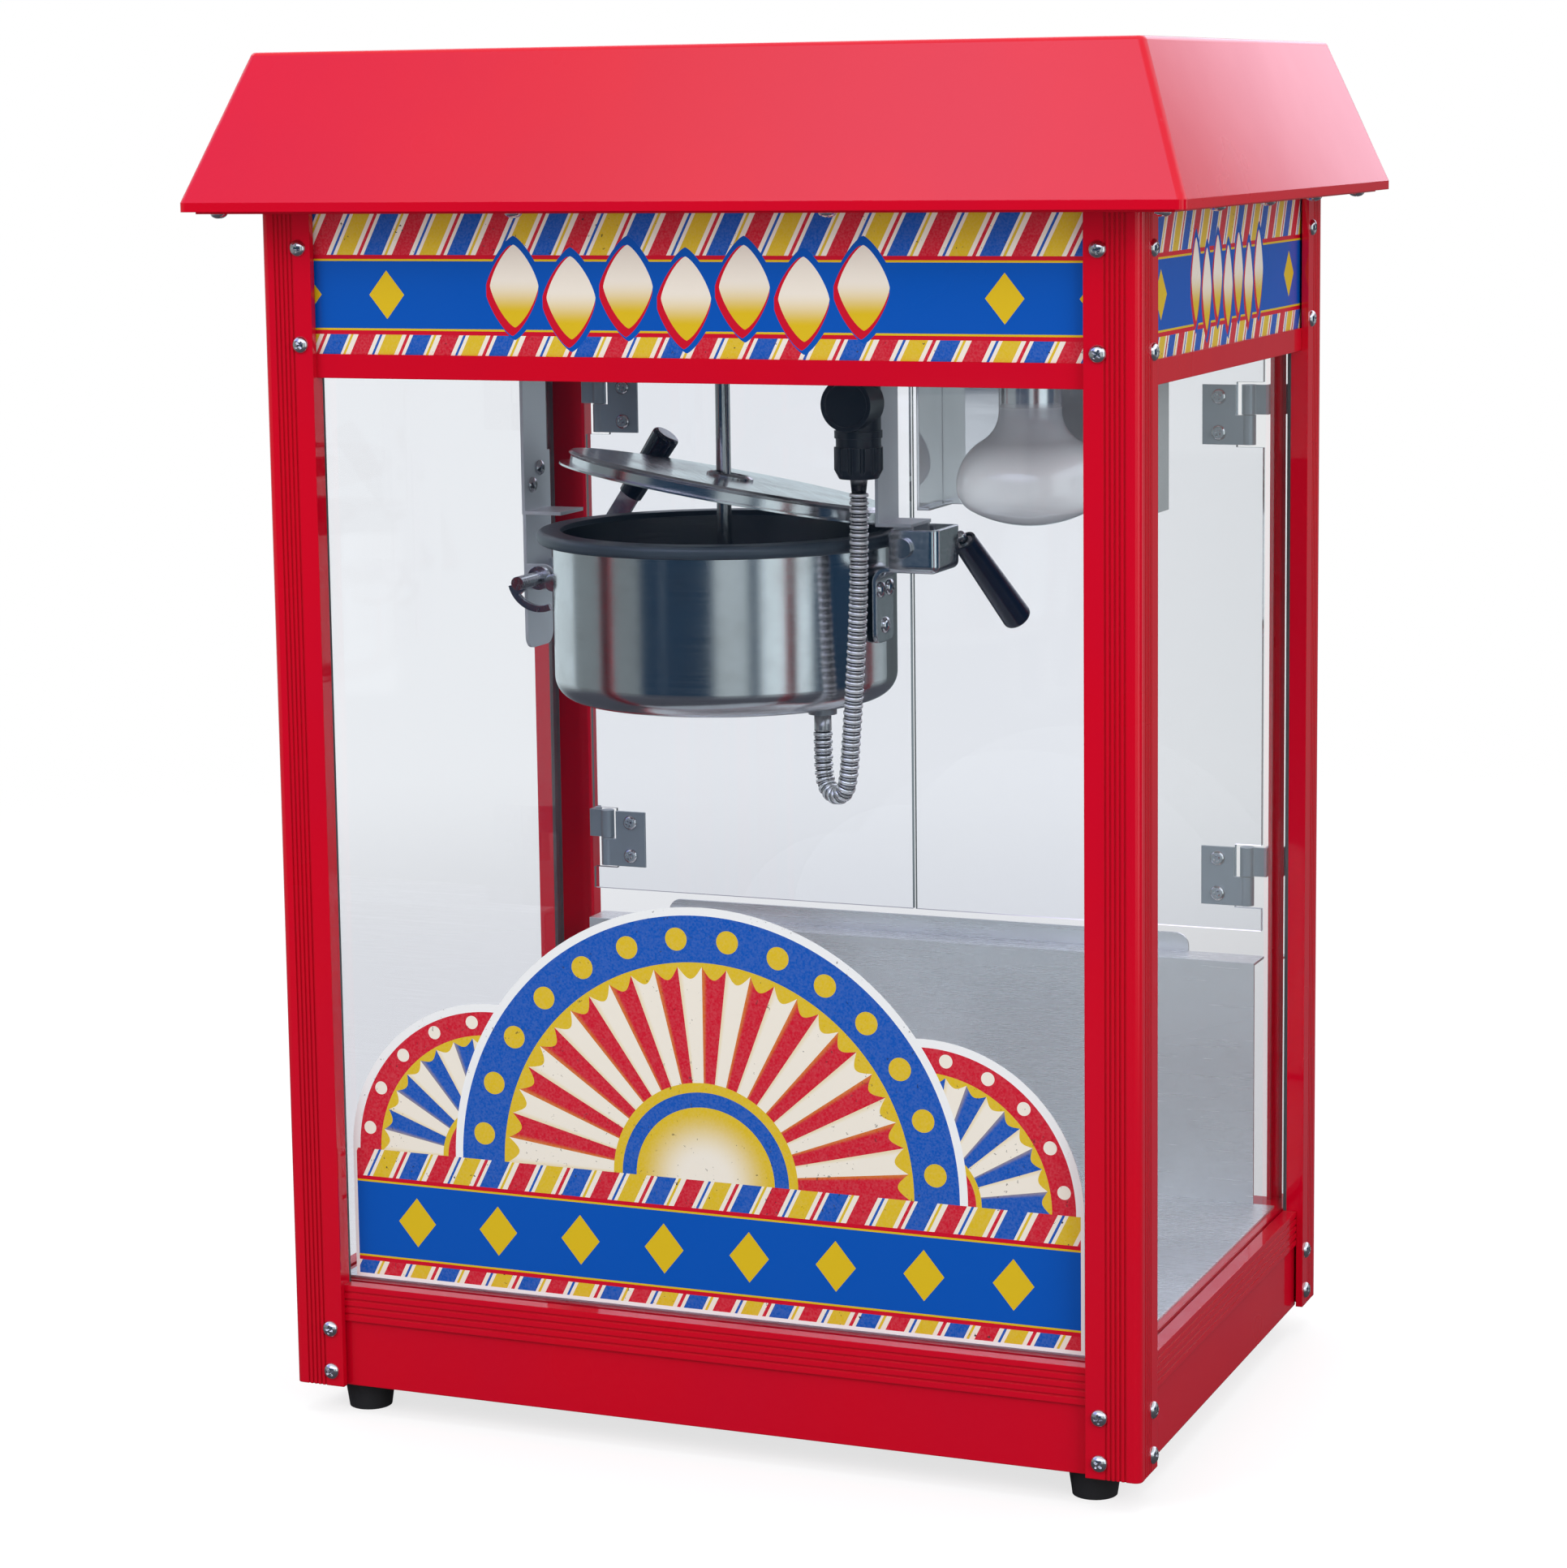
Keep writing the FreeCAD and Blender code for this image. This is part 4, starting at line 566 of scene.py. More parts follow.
def fan_colour(tree, under, across, up, centre, radius, inks, rays):
    # One pleated half fan with a dotted ring, over what is under it
    dx = across - centre
    dz = up - film_band_height
    reach = (dx * dx + dz * dz).root()
    turn = dz.angle_over(dx) / math.pi
    share = reach / radius
    core_ink, ray_ink, ring_ink, dot_ink = inks
    pleat = (turn * (rays / 2)).fract()
    scallop = abs((turn * math.pi * rays).sine()) * fan_scallop
    colour = painted(tree, PRINT_WHITE, ring_ink, share.below(1 - film_border / radius))
    colour = painted(tree, colour, PRINT_YELLOW, share.below(fan_ray_line))
    ray = painted(tree, PRINT_CREAM, ray_ink, pleat.below(0.5))
    shade = (pleat * 2).fract().ramped(*fan_pleat_shade)
    ray = painted(tree, ray, PRINT_YELLOW, shade)
    colour = painted(tree, colour, ray, (share + scallop).below(fan_ray))
    colour = painted(tree, colour, PRINT_YELLOW, share.below(fan_core_line))
    colour = painted(tree, colour, core_ink, share.below(fan_core))
    glow = painted(tree, PRINT_YELLOW, PRINT_CREAM, share.ramped(*fan_glow_fade))
    colour = painted(tree, colour, glow, share.below(fan_glow))
    count = rays / 2 + 1
    along = ((turn * count).fract() - 0.5) * (math.pi / count * fan_dot_ring)
    apart = share - fan_dot_ring
    dots = (along * along + apart * apart).root().below(fan_dot_radius)
    colour = painted(tree, colour, dot_ink, dots)
    return painted(tree, under, colour, reach.below(radius) * dz.above(0.0))


def fan_print():
    material, tree, shader, coords = new_material("Fan print film")
    x, y, z = in_millimetres(tree, coords)
    up = z - film_base_z
    reach = film_half_width - side_fan_radius
    colour = PRINT_WHITE
    side_inks = (PRINT_RED, PRINT_BLUE, PRINT_RED, PRINT_CREAM)
    for side in (-1, 1):
        colour = fan_colour(tree, colour, x, up, side * reach, side_fan_radius, side_inks, side_fan_rays)
    main_inks = (PRINT_BLUE, PRINT_RED, PRINT_BLUE, PRINT_YELLOW)
    colour = fan_colour(tree, colour, x, up, 0.0, main_fan_radius, main_inks, main_fan_rays)
    colour = use(tree, worn_group, {"Vector": coords, "Color": colour, "Flecks": film_flecks})["Color"]
    stripes = use(tree, stripe_group, {"U": x, "V": up})["Color"]
    stripes = use(tree, worn_group, {"Vector": coords, "Color": stripes})["Color"]
    colour = painted(tree, colour, stripes, up.below(film_band_height))
    colour = banded(tree, colour, up, film_blue)
    colour = painted(tree, colour, PRINT_YELLOW, diamonds(x, up, film_blue, film_diamond_growth))
    edge = abs(x).above(film_half_width - film_edge).either(up.below(film_edge))
    colour = painted(tree, colour, PRINT_WHITE, edge)
    # The back of the film is plain white
    facing = place(tree, "ShaderNodeNewGeometry").outputs["Normal"]
    split = place(tree, "ShaderNodeSeparateXYZ", {"Vector": facing})
    colour = painted(tree, colour, PRINT_WHITE, Field(tree, split.outputs["Y"]).above(0.5))
    finish_print(tree, shader, coords, colour)
    return material


def steel(name, tint, rough, stretch, scale, bump, edge_radius, metallic=1.0):
    material, tree, shader, coords = new_material(name)
    grain = use(tree, grain_group, {"Vector": coords, "Stretch": stretch, "Scale": scale})
    edges = use(tree, edge_group, {"Radius": edge_radius})
    dust = use(tree, dust_group, {"Vector": coords, "Amount": 0.10})["Dust"]
    patch = Field(tree, grain["Patch"]).ramped(0.3, 0.7)
    darker = tuple(value * 0.86 for value in tint) + (1,)
    tone = painted(tree, tint + (1,), darker, patch)
    # Lighter edges, part wear and part painted highlight
    tone = painted(tree, tone, STEEL_EDGE_WEAR_AND_HIGHLIGHT, Field(tree, edges["Edge"]) * 0.6)
    mixed = Field(tree, grain["Grain"]) * 0.6 + Field(tree, grain["Patch"]) * 0.4 + dust
    set_sockets(
        tree,
        shader,
        Base_Color=tone,
        Metallic=metallic,
        Roughness=mixed.ramped(0.3, 0.75, *rough),
        Normal=bumped(tree, grain["Grain"], bump, 0.0002, edges["Normal"]),
    )
    return material


def spun_steel():
    # Polished kettle steel with the fine rings of spinning
    material, tree, shader, coords = new_material("Spun steel")
    x, y, z = in_millimetres(tree, coords)
    turn = y.angle_over(x - kettle_axis_x)
    rings = place(tree, "ShaderNodeCombineXYZ", {"X": turn * 0.35, "Y": 0.0, "Z": z * 0.9})
    lines = noise(tree, rings.outputs[0], scale=3.0, detail=4.0, roughness=0.7)
    soil = noise(tree, coords, scale=14.0, detail=4.0, roughness=0.6)
    edges = use(tree, edge_group, {"Radius": 0.0004})
    tone = painted(tree, SPUN_STEEL, SPUN_SOIL, soil.ramped(0.4, 0.75))
    tone = painted(tree, tone, SPUN_RINGS, lines.ramped(0.45, 0.8, 0.0, 0.6))
    set_sockets(
        tree,
        shader,
        Base_Color=tone,
        Metallic=1.0,
        Roughness=(lines * 0.7 + soil * 0.5).ramped(0.3, 0.9, 0.09, 0.26),
        Normal=bumped(tree, lines, 0.06, 0.0002, edges["Normal"]),
    )
    return material


def moulded(name, tint, rough, coat, bump, scale, edge_wear_and_highlight_tint=None):
    material, tree, shader, coords = new_material(name)
    grain = use(tree, grain_group, {"Vector": coords, "Scale": scale})
    edges = use(tree, edge_group, {"Radius": 0.0006})
    dust = use(tree, dust_group, {"Vector": coords, "Amount": 0.18})["Dust"]
    patch = Field(tree, grain["Patch"])
    lighter = tuple(min(1.0, value * 1.5 + 0.006) for value in tint) + (1,)
    tone = painted(tree, tint + (1,), lighter, patch.ramped(0.35, 0.75))
    # Lighter edges, part wear and part painted highlight
    tone = painted(tree, tone, (edge_wear_and_highlight_tint or lighter[:3]) + (1,), Field(tree, edges["Edge"]) * 0.5)
    tone = painted(tree, tone, GREY_DUST, dust)
    set_sockets(
        tree,
        shader,
        Base_Color=tone,
        Roughness=(patch + dust).ramped(0.25, 0.8, rough - 0.05, rough + 0.08),
        Coat_Weight=coat,
        Coat_Roughness=0.05,
        Normal=bumped(tree, grain["Grain"], bump, 0.0003, edges["Normal"]),
    )
    return material


def clear_pane(name, tint, index):
    material, tree, shader, coords = new_material(name)
    smear = noise(tree, coords, scale=7.0, detail=4.0, roughness=0.6).ramped(0.55, 0.85, 0.0, 0.02)
    set_sockets(tree, shader, Base_Color=tint, Transmission_Weight=1.0, IOR=index, Roughness=smear)
    # Shadows, soft light and mirrored rays pass straight through
    path = place(tree, "ShaderNodeLightPath")
    passing = Field(tree, path.outputs["Is Shadow Ray"]).either(Field(tree, path.outputs["Is Diffuse Ray"]))
    mirrored = Field(tree, path.outputs["Is Glossy Ray"]) - Field(tree, path.outputs["Is Transmission Ray"])
    passing = passing.either(mirrored)
    through = place(tree, "ShaderNodeBsdfTransparent", {"Color": PANE_SHADOW})
    both = place(tree, "ShaderNodeMixShader", {0: passing, 1: shader.outputs[0], 2: through.outputs[0]})
    tree.links.new(both.outputs[0], tree.nodes["Material Output"].inputs["Surface"])
    return material


def lamp_envelope():
    # Silvered neck over a shoulder that greys up towards the neck, and a frosted face
    material, tree, shader, coords = new_material("Lamp envelope")
    x, y, z = in_millimetres(tree, coords)
    mottle = noise(tree, coords, scale=34.0, detail=3.0, roughness=0.55)
    silver = (z + mottle * 3).ramped(lamp_neck_z - 2, lamp_neck_z + 4)
    # The shoulder greys from above the widest point up to the neck
    greyer_shoulder = (z + mottle * 8).ramped(lamp_widest_z + 8, lamp_neck_z)
    tone = painted(tree, LAMP_FACE, LAMP_GREYER_SHOULDER, greyer_shoulder)
    tone = painted(tree, tone, LAMP_SILVER, silver)
    tone = painted(tree, tone, LAMP_MOTTLE, mottle.ramped(0.45, 0.8, 0.0, 0.25))
    set_sockets(
        tree,
        shader,
        Base_Color=tone,
        Metallic=silver * 0.8,
        Roughness=silver.ramped(0.0, 1.0, 0.30, 0.20),
        Coat_Weight=1.0,
        Coat_Roughness=0.03,
        Normal=bumped(tree, mottle, 0.015, 0.0008),
    )
    return material


def switch_cap():
    # Glossy rocker with a bar and a ring as its marks
    material, tree, shader, coords = new_material("Switch rocker")
    x, y, z = in_millimetres(tree, coords)
    side = x - (x / switch_pitch + 0.5).floor() * switch_pitch
    rise = z - switch_axis_z
    ring_z = rise - switch_mark_rise
    ring = (side * side + ring_z * ring_z).root()
    bar = abs(side).below(switch_bar_half[0]) * abs(rise + switch_mark_rise).below(switch_bar_half[1])
    marks = ring.between(*switch_ring).either(bar)
    grain = use(tree, grain_group, {"Vector": coords, "Scale": 700.0})
    edges = use(tree, edge_group, {"Radius": 0.0006})
    tone = painted(tree, SWITCH_BLACK, SWITCH_MARK, marks)
    set_sockets(
        tree,
        shader,
        Base_Color=tone,
        Roughness=Field(tree, grain["Grain"]).ramped(0.2, 0.8, 0.22, 0.36),
        Normal=bumped(tree, grain["Grain"], 0.05, 0.0002, edges["Normal"]),
    )
    return material


def conduit_metal():
    # Bright ribs with painted shade darkening the grooves, by the rib attribute of the tube
    material, tree, shader, coords = new_material("Conduit steel")
    rib = Field(tree, place(tree, "ShaderNodeAttribute", attribute_name="rib").outputs["Fac"])
    soil = noise(tree, coords, scale=160.0, detail=3.0, roughness=0.6)
    tone = painted(tree, CONDUIT_GROOVE_SHADE, CONDUIT_RIB, rib.ramped(0.3, 0.9))
    tone = painted(tree, tone, CONDUIT_SOIL, soil.ramped(0.5, 0.8, 0.0, 0.3))
    set_sockets(
        tree,
        shader,
        Base_Color=tone,
        Metallic=0.65,
        Roughness=(rib * 0.5 + soil * 0.5).ramped(0.2, 0.8, 0.42, 0.16),
        Normal=bumped(tree, soil, 0.04, 0.0002),
    )
    return material


enamel = red_enamel()
front_sign_print = sign_print("Front sign print", sideways=False)
side_sign_print = sign_print("Side sign print", sideways=True)
film_print = fan_print()
brushed = steel(
    "Brushed steel",
    tint=(0.78, 0.81, 0.85),
    rough=(0.34, 0.50),
    stretch=(1, 1, 0.05),
    scale=900.0,
    bump=0.012,
    edge_radius=0.0005,
    metallic=0.45,
)
satin = steel(
    "Satin steel",
    tint=(0.84, 0.85, 0.86),
    rough=(0.25, 0.29),
    stretch=(0.02, 1, 1),
    scale=900.0,
    bump=0.002,
    edge_radius=0.0005,
    metallic=0.6,
)
bright = steel(
    "Bright reflector",
    tint=(0.95, 0.96, 0.97),
    rough=(0.02, 0.05),
    stretch=(0.06, 1, 1),
    scale=500.0,
    bump=0.002,
    edge_radius=0.0008,
    metallic=0.6,
)
plated = steel(
    "Zinc-plated steel",
    tint=(0.74, 0.76, 0.78),
    rough=(0.12, 0.26),
    stretch=(1, 1, 1),
    scale=600.0,
    bump=0.01,
    edge_radius=0.0012,
)
rod_steel = steel(
    "Ground rod steel",
    tint=(0.55, 0.55, 0.56),
    rough=(0.14, 0.30),
    stretch=(1, 1, 0.3),
    scale=900.0,
    bump=0.03,
    edge_radius=0.0004,
)
hinge_steel = steel(
    "Hinge steel",
    tint=(0.34, 0.39, 0.44),
    rough=(0.34, 0.48),
    stretch=(1, 1, 0.1),
    scale=900.0,
    bump=0.015,
    edge_radius=0.0005,
    metallic=0.5,
)
screw_steel = steel(
    "Plated screw steel",
    tint=(0.74, 0.74, 0.75),
    rough=(0.08, 0.24),
    stretch=(1, 1, 1),
    scale=900.0,
    bump=0.02,
    edge_radius=0.0003,
)
cast_alloy = steel(
    "Cast alloy",
    tint=(0.52, 0.52, 0.53),
    rough=(0.40, 0.60),
    stretch=(1, 1, 1),
    scale=420.0,
    bump=0.15,
    edge_radius=0.0006,
)
spun = spun_steel()
pane = clear_pane("Clear glass", tint=(0.935, 0.95, 0.975, 1), index=1.45)
side_pane = clear_pane("Clear side glass", tint=(0.975, 0.98, 0.99, 1), index=1.2)
door_pane = clear_pane("Clear acrylic", tint=(0.93, 0.945, 0.975, 1), index=1.47)
lamp_glass = lamp_envelope()
rim_black = moulded(
    "Satin rim",
    tint=(0.032, 0.044, 0.059),
    rough=0.40,
    coat=0.0,
    bump=0.10,
    scale=900.0,
)
plastic = moulded(
    "Black moulding",
    tint=(0.010, 0.013, 0.020),
    rough=0.30,
    coat=0.0,
    bump=0.12,
    scale=1100.0,
    edge_wear_and_highlight_tint=(0.16, 0.17, 0.19),
)
grip_black = moulded(
    "Glossy grip",
    tint=(0.004, 0.007, 0.020),
    rough=0.20,
    coat=0.35,
    bump=0.02,
    scale=500.0,
)
seal = moulded(
    "Sealing strip",
    tint=(0.05, 0.052, 0.055),
    rough=0.55,
    coat=0.0,
    bump=0.10,
    scale=800.0,
)
rubber = moulded(
    "Foot rubber",
    tint=(0.014, 0.014, 0.015),
    rough=0.70,
    coat=0.0,
    bump=0.25,
    scale=1000.0,
)
ceramic = moulded(
    "Lamp ceramic",
    tint=(0.78, 0.77, 0.74),
    rough=0.30,
    coat=0.3,
    bump=0.05,
    scale=500.0,
    edge_wear_and_highlight_tint=(0.85, 0.84, 0.82),
)
motor_grey = moulded(
    "Motor paint",
    tint=(0.16, 0.17, 0.18),
    rough=0.45,
    coat=0.0,
    bump=0.15,
    scale=700.0,
)
rocker = switch_cap()
conduit_finish = conduit_metal()

finishes = {
    enamel: "corner_posts base_rails head_rails top_frame control_panel roof_shell roof_base crumb_drawer",
    front_sign_print: "front_sign",
    side_sign_print: "side_signs",
    film_print: "front_print",
    brushed: "left_hanger right_hanger latch_carrier base_plate",
    plated: "kettle_bracket kettle_catch",
    bright: "lamp_reflector",
    satin: "rear_dam deck_plate ceiling_plate",
    spun: "kettle_shell kettle_pan lid",
    rod_steel: "stirrer_shaft stirrer_blade dump_rod latch_shaft latch_lever pivot_pin lid_bush",
    hinge_steel: "door_hinges left_door_clamps right_door_clamps",
    screw_steel: "post_screws roof_screws hanger_screws kettle_screws",
    cast_alloy: "heating_element kettle_gland",
    conduit_finish: "kettle_conduit",
    pane: "front_glass",
    side_pane: "side_glass",
    door_pane: "left_door right_door",
    lamp_glass: "lamp_bulb",
    ceramic: "lamp_socket",
    motor_grey: "gear_motor",
    rim_black: "kettle_rim",
    plastic: "conduit_elbow gland_nut switch_frames mains_gland",
    grip_black: "dump_grip latch_grip",
    rocker: "lamp_rocker stir_rocker heat_rocker",
    seal: "glass_seals",
    rubber: "feet",
}
for finish, names in finishes.items():
    for name in names.split():
        nodes[name].data.materials.clear()
        nodes[name].data.materials.append(finish)


def new_piece(name, bm, material):
    mesh = bpy.data.meshes.new(name)
    bm.to_mesh(mesh)
    bm.free()
    mesh.polygons.foreach_set("use_smooth", [True] * len(mesh.polygons))
    mesh.materials.append(material)
    piece = bpy.data.objects.new(name, mesh)
    bpy.context.scene.collection.objects.link(piece)
    return piece


def conduit_corners():
    # Control points of the route
    start, end = Vector(conduit_start) * MM, Vector(conduit_end) * MM
    across = Vector((end.x - start.x, end.y - start.y, 0))
    corners = [start + across * share - Vector((0, 0, drop * MM)) for share, drop in conduit_lean]
    return corners + [end - Vector((0, 0, conduit_end_tail * MM)), end]


def conduit_line():
    # Points of the route's smooth spline, in order
    curve = bpy.data.curves.new("conduit_route", "CURVE")
    curve.dimensions = "3D"
    curve.resolution_u = conduit_resolution
    spline = curve.splines.new("NURBS")
    corners = conduit_corners()
    spline.points.add(len(corners) - 1)
    for point, corner in zip(spline.points, corners):
        point.co = corner.to_4d()
    spline.order_u = 3
    spline.use_endpoint_u = True
    route = bpy.data.objects.new("conduit_route", curve)
    bpy.context.scene.collection.objects.link(route)
    mesh = bpy.data.meshes.new_from_object(route)
    line = [vertex.co.copy() for vertex in mesh.vertices]
    bpy.data.objects.remove(route)
    bpy.data.curves.remove(curve)
    bpy.data.meshes.remove(mesh)
    return line


def along_line(line, lengths, distance):
    # Point and heading at a distance along a line
    for index in range(len(line) - 1):
        if distance <= lengths[index + 1] or index == len(line) - 2:
            share = (distance - lengths[index]) / (lengths[index + 1] - lengths[index])
            return line[index].lerp(line[index + 1], share), (line[index + 1] - line[index]).normalized()


def ribbed_conduit():
    # A tube of ribs swept along the route, and the route itself
    line = conduit_line()
    lengths = [0.0]
    for start, end in zip(line, line[1:]):
        lengths.append(lengths[-1] + (end - start).length)
    total = lengths[-1]
    count = int((total / MM - 2 * conduit_plain_end) / conduit_rib_pitch)
    pitch = (total - 2 * conduit_plain_end * MM) / count
    stations = [(0.0, *conduit_end_ring)]
    for index in range(count):
        foot = conduit_plain_end * MM + index * pitch
        for share, size, height in conduit_turn:
            stations.append((foot + share * pitch, size, height))
    stations.append((total, *conduit_end_ring))
    bm = bmesh.new()
    layer = bm.verts.layers.float.new("rib")
    at, heading = along_line(line, lengths, 0.0)
    turn = heading.to_track_quat("Z", "Y").to_matrix().to_4x4()
    ring = bmesh.ops.create_circle(bm, segments=conduit_sides, radius=conduit_radius * MM)["verts"]
    bmesh.ops.transform(bm, matrix=Matrix.Translation(at) @ turn, verts=ring)
    edges = list(bm.edges)
    size = 1.0
    for distance, new_size, height in stations:
        new_at, new_heading = along_line(line, lengths, distance)
        made = bmesh.ops.extrude_edge_only(bm, edges=edges)["geom"]
        ring = [item for item in made if isinstance(item, bmesh.types.BMVert)]
        edges = [item for item in made if isinstance(item, bmesh.types.BMEdge)]
        swing = heading.rotation_difference(new_heading).to_matrix().to_4x4()
        grow = Matrix.Scale(new_size / size, 4)
        move = Matrix.Translation(new_at) @ swing @ grow @ Matrix.Translation(-at)
        bmesh.ops.transform(bm, matrix=move, verts=ring)
        # The rib value is low in the grooves, where the conduit finish paints shade
        for vertex in ring:
            vertex[layer] = height
        at, heading, size = new_at, new_heading, new_size
    bmesh.ops.holes_fill(bm, edges=bm.edges, sides=conduit_sides)
    bmesh.ops.remove_doubles(bm, verts=bm.verts, dist=weld_distance)
    bmesh.ops.recalc_face_normals(bm, faces=bm.faces)
    piece = new_piece("conduit_ribbed", bm, conduit_finish)
    return piece, line


conduit, conduit_path = ribbed_conduit()
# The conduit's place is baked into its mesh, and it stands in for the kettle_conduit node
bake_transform(conduit)
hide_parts("kettle_conduit")


def cross_screw():
    # One domed head with a cross recess, seated on the origin and facing +Z
    bm = bmesh.new()
    radius = screw_radius * MM
    bmesh.ops.create_uvsphere(bm, u_segments=screw_segments, v_segments=screw_rings, radius=radius)
    bmesh.ops.scale(bm, vec=(1, 1, screw_height / screw_radius), verts=bm.verts)
    everything = bm.verts[:] + bm.edges[:] + bm.faces[:]
    bmesh.ops.bisect_plane(bm, geom=everything, plane_co=(0, 0, 0), plane_no=(0, 0, 1), clear_inner=True)
    bmesh.ops.holes_fill(bm, edges=bm.edges)
    bmesh.ops.recalc_face_normals(bm, faces=bm.faces)
    head = new_piece("screw_master", bm, screw_steel)
    cutters = []
    recess = Vector((recess_length, recess_width, 2 * recess_depth)) * MM
    for turn in range(2):
        bm = bmesh.new()
        bmesh.ops.create_cube(bm, size=1.0)
        bmesh.ops.scale(bm, vec=recess, verts=bm.verts)
        bmesh.ops.rotate(bm, matrix=Matrix.Rotation(math.pi / 2 * turn, 3, "Z"), verts=bm.verts)
        bmesh.ops.translate(bm, vec=(0, 0, screw_height * MM), verts=bm.verts)
        cutters.append(new_piece("recess_cutter", bm, screw_steel))
        cut = head.modifiers.new("Recess", "BOOLEAN")
        cut.operation = "DIFFERENCE"
        cut.solver = "EXACT"
        cut.object = cutters[-1]
    bpy.context.view_layer.update()
    graph = bpy.context.evaluated_depsgraph_get()
    mesh = bpy.data.meshes.new_from_object(head.evaluated_get(graph))
    for spare in [head] + cutters:
        bpy.data.objects.remove(spare)
    return mesh


def screw_seats(name):
    # Seat and direction of every small head in a node, read from its mesh
    bm = bmesh.new()
    bm.from_mesh(nodes[name].data)
    bmesh.ops.remove_doubles(bm, verts=bm.verts, dist=weld_distance)
    left = set(bm.verts)
    seats = []
    while left:
        start = left.pop()
        island = {start}
        queue = [start]
        while queue:
            for edge in queue.pop().link_edges:
                for vertex in edge.verts:
                    if vertex in left:
                        left.discard(vertex)
                        island.add(vertex)
                        queue.append(vertex)
        points = [vertex.co for vertex in island]
        low = Vector([min(point[axis] for point in points) for axis in range(3)])
        high = Vector([max(point[axis] for point in points) for axis in range(3)])
        span = high - low
        axis = min(range(3), key=lambda index: span[index])
        if max(span) > 3 * screw_radius * MM:
            continue
        middle = (low + high) / 2
        wide = max(points, key=lambda point: (point - middle).length)
        seat = middle.copy()
        seat[axis] = wide[axis]
        direction = Vector((0, 0, 0))
        direction[axis] = 1.0 if wide[axis] < middle[axis] else -1.0
        seats.append((seat, direction))
    bm.free()
    return sorted(seats, key=lambda found: tuple(found[0]))


screw_mesh = cross_screw()


def cross_screws(name, node, body, covers=False):
    # One piece of screws over a node's small heads; it replaces the node unless it only covers them
    bm = bmesh.new()
    for index, (seat, direction) in enumerate(screw_seats(node)):
        before = len(bm.verts)
        bm.from_mesh(screw_mesh)
        bm.verts.ensure_lookup_table()
        spin = Matrix.Rotation(math.radians(screw_first_turn + screw_next_turn * index), 4, "Z")
        aim = direction.to_track_quat("Z", "Y").to_matrix().to_4x4()
        bmesh.ops.transform(bm, matrix=Matrix.Translation(seat) @ aim @ spin, verts=bm.verts[before:])
    piece = new_piece(name, bm, screw_steel)
    piece.data.set_sharp_from_angle(angle=math.radians(screw_sharp_angle))
    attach(piece, body)
    if not covers:
        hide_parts(node)


cross_screws("post_cross_screws", "post_screws", "cabinet")
cross_screws("roof_cross_screws", "roof_screws", "cabinet")
cross_screws("hanger_cross_screws", "hanger_screws", "cabinet")
cross_screws("kettle_cross_screws", "kettle_screws", "kettle")
cross_screws("left_clamp_cross_screws", "left_door_clamps", "left_door", covers=True)
cross_screws("right_clamp_cross_screws", "right_door_clamps", "right_door", covers=True)


def soft_lamp(name, place_at, target, size, power):
    light = bpy.data.lights.new(name, "AREA")
    light.shape = "RECTANGLE"
    light.size, light.size_y = size
    light.energy = power
    lamp = bpy.data.objects.new(name, light)
    lamp.location = place_at
    lamp.rotation_euler = (Vector(target) - Vector(place_at)).to_track_quat("-Z", "Y").to_euler()
    lamp.visible_glossy = False
    bpy.context.scene.collection.objects.link(lamp)


soft_lamp("key_softbox", place_at=(-1.6, -2.4, 2.2), target=(0, 0, 0.4), size=(1.6, 1.6), power=34.0)
soft_lamp("fill_softbox", place_at=(2.4, -1.6, 1.3), target=(0, 0, 0.35), size=(1.4, 1.8), power=26.0)
soft_lamp("overhead_softbox", place_at=(0.1, -0.2, 2.9), target=(0, 0, 0.5), size=(2.2, 1.6), power=28.0)
soft_lamp("back_softbox", place_at=(0.3, 2.6, 1.6), target=(0, 0, 0.4), size=(2.4, 1.4), power=20.0)


def seen_directly(tree, path):
    # Rays from the camera, and what it sees through glass
    return Field(tree, path.outputs["Is Camera Ray"]).either(Field(tree, path.outputs["Is Transmission Ray"]))


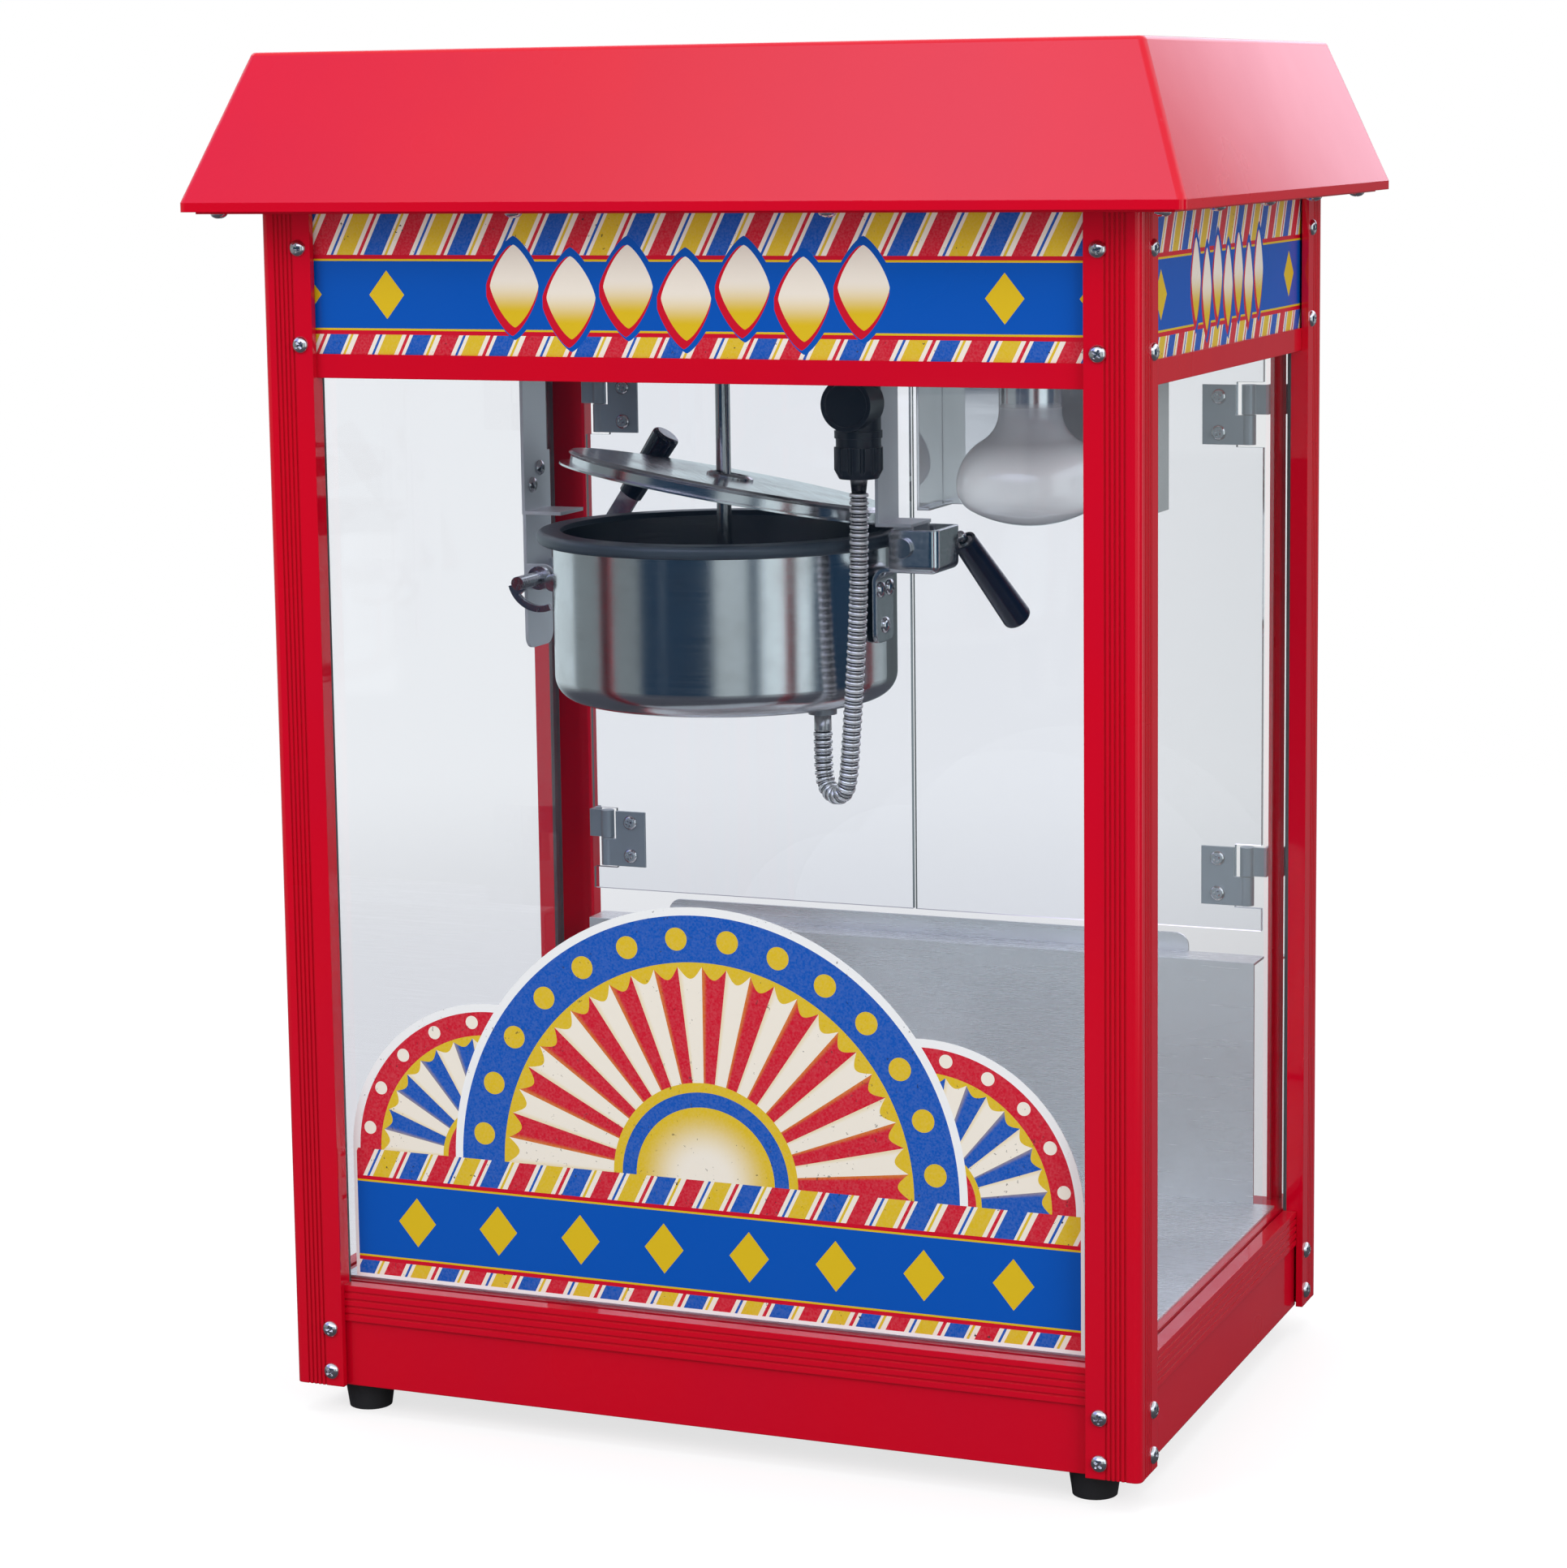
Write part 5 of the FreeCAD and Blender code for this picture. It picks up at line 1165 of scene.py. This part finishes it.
def studio_world():
    # White to the camera and through glass, a studio of soft boxes to glossy surfaces, even light elsewhere
    world = bpy.data.worlds.new("Studio")
    world.use_nodes = True
    bpy.context.scene.world = world
    tree = world.node_tree
    view = place(tree, "ShaderNodeTexCoord").outputs["Generated"]
    split = place(tree, "ShaderNodeSeparateXYZ", {"Vector": view})
    x, y, z = (Field(tree, split.outputs[axis]) for axis in ("X", "Y", "Z"))
    bearing = x.angle_over(-y) * (180 / math.pi)
    colour = STUDIO_DARK
    for low, high, level in glossy_boxes:
        inside = bearing.window(low - box_edge, low + box_edge, high - box_edge, high + box_edge)
        colour = painted(tree, colour, tuple(level * tint for tint in box_tint) + (1,), inside)
    raised = z.ramped(*rear_heights)
    colour = painted(tree, colour, REAR_WALL, abs(bearing).above(rear_bearing) * raised)
    colour = painted(tree, colour, REAR_STRIP, abs(bearing).ramped(*rear_strip_bearings) * raised)
    colour = painted(tree, colour, CARD, bearing.window(*card_bearings) * z.window(*card_heights))
    sky = painted(tree, SKY, SKY_DIM, bearing.window(*dim_bearings))
    sky = painted(tree, sky, SKY_BRIGHT, bearing.window(*bright_bearings))
    sky = painted(tree, sky, SKY_TOP, z.ramped(*overhead_heights))
    colour = painted(tree, colour, sky, z.ramped(*sky_heights))
    colour = painted(tree, colour, GROUND, z.ramped(*ground_heights))
    path = place(tree, "ShaderNodeLightPath")
    shown = painted(tree, EVEN_LIGHT, colour, path.outputs["Is Glossy Ray"])
    shown = painted(tree, shown, WHITE, seen_directly(tree, path))
    join(tree, shown, tree.nodes["Background"].inputs["Color"])


def studio_floor():
    # A pale floor that fades out and hardly shows in mirrors
    bm = bmesh.new()
    bmesh.ops.create_circle(bm, cap_ends=True, segments=floor_segments, radius=floor_radius)
    material, tree, shader, coords = new_material("Studio floor")
    path = place(tree, "ShaderNodeLightPath")
    tone = painted(tree, FLOOR, FLOOR_MIRRORED, path.outputs["Is Glossy Ray"])
    set_sockets(tree, shader, Base_Color=tone, Roughness=0.9)
    mirrored = Field(tree, path.outputs["Is Glossy Ray"])
    lit = seen_directly(tree, path) * floor_glow_seen + mirrored * floor_glow_mirrored
    glow = place(tree, "ShaderNodeEmission", {"Color": WHITE, "Strength": lit})
    total = place(tree, "ShaderNodeAddShader", {0: shader.outputs[0], 1: glow.outputs[0]})
    clear = place(tree, "ShaderNodeBsdfTransparent")
    reach = place(tree, "ShaderNodeVectorMath", {0: coords}, operation="LENGTH").outputs["Value"]
    fade = Field(tree, reach).ramped(*floor_fade)
    both = place(tree, "ShaderNodeMixShader", {0: fade, 1: total.outputs[0], 2: clear.outputs[0]})
    tree.links.new(both.outputs[0], tree.nodes["Material Output"].inputs["Surface"])
    floor = new_piece("studio_floor", bm, material)


def photo_camera():
    data = bpy.data.cameras.new("photo_camera")
    data.sensor_width = sensor
    data.lens = camera_pixels / image_height * sensor
    data.shift_y = camera_shift_y
    data.clip_end = camera_clip_end
    camera = bpy.data.objects.new("photo_camera", data)
    azimuth, fall = math.radians(camera_azimuth), math.radians(camera_fall)
    ahead = Vector((-math.sin(azimuth) * math.cos(fall), math.cos(azimuth) * math.cos(fall), -math.sin(fall)))
    level = ahead.to_track_quat("-Z", "Y")
    roll = Matrix.Rotation(math.radians(camera_roll), 4, "Z")
    camera.matrix_world = Matrix.Translation(camera_place) @ level.to_matrix().to_4x4() @ roll
    bpy.context.scene.collection.objects.link(camera)
    bpy.context.scene.camera = camera


studio_world()
studio_floor()
photo_camera()
bpy.context.scene.view_settings.view_transform = "Standard"
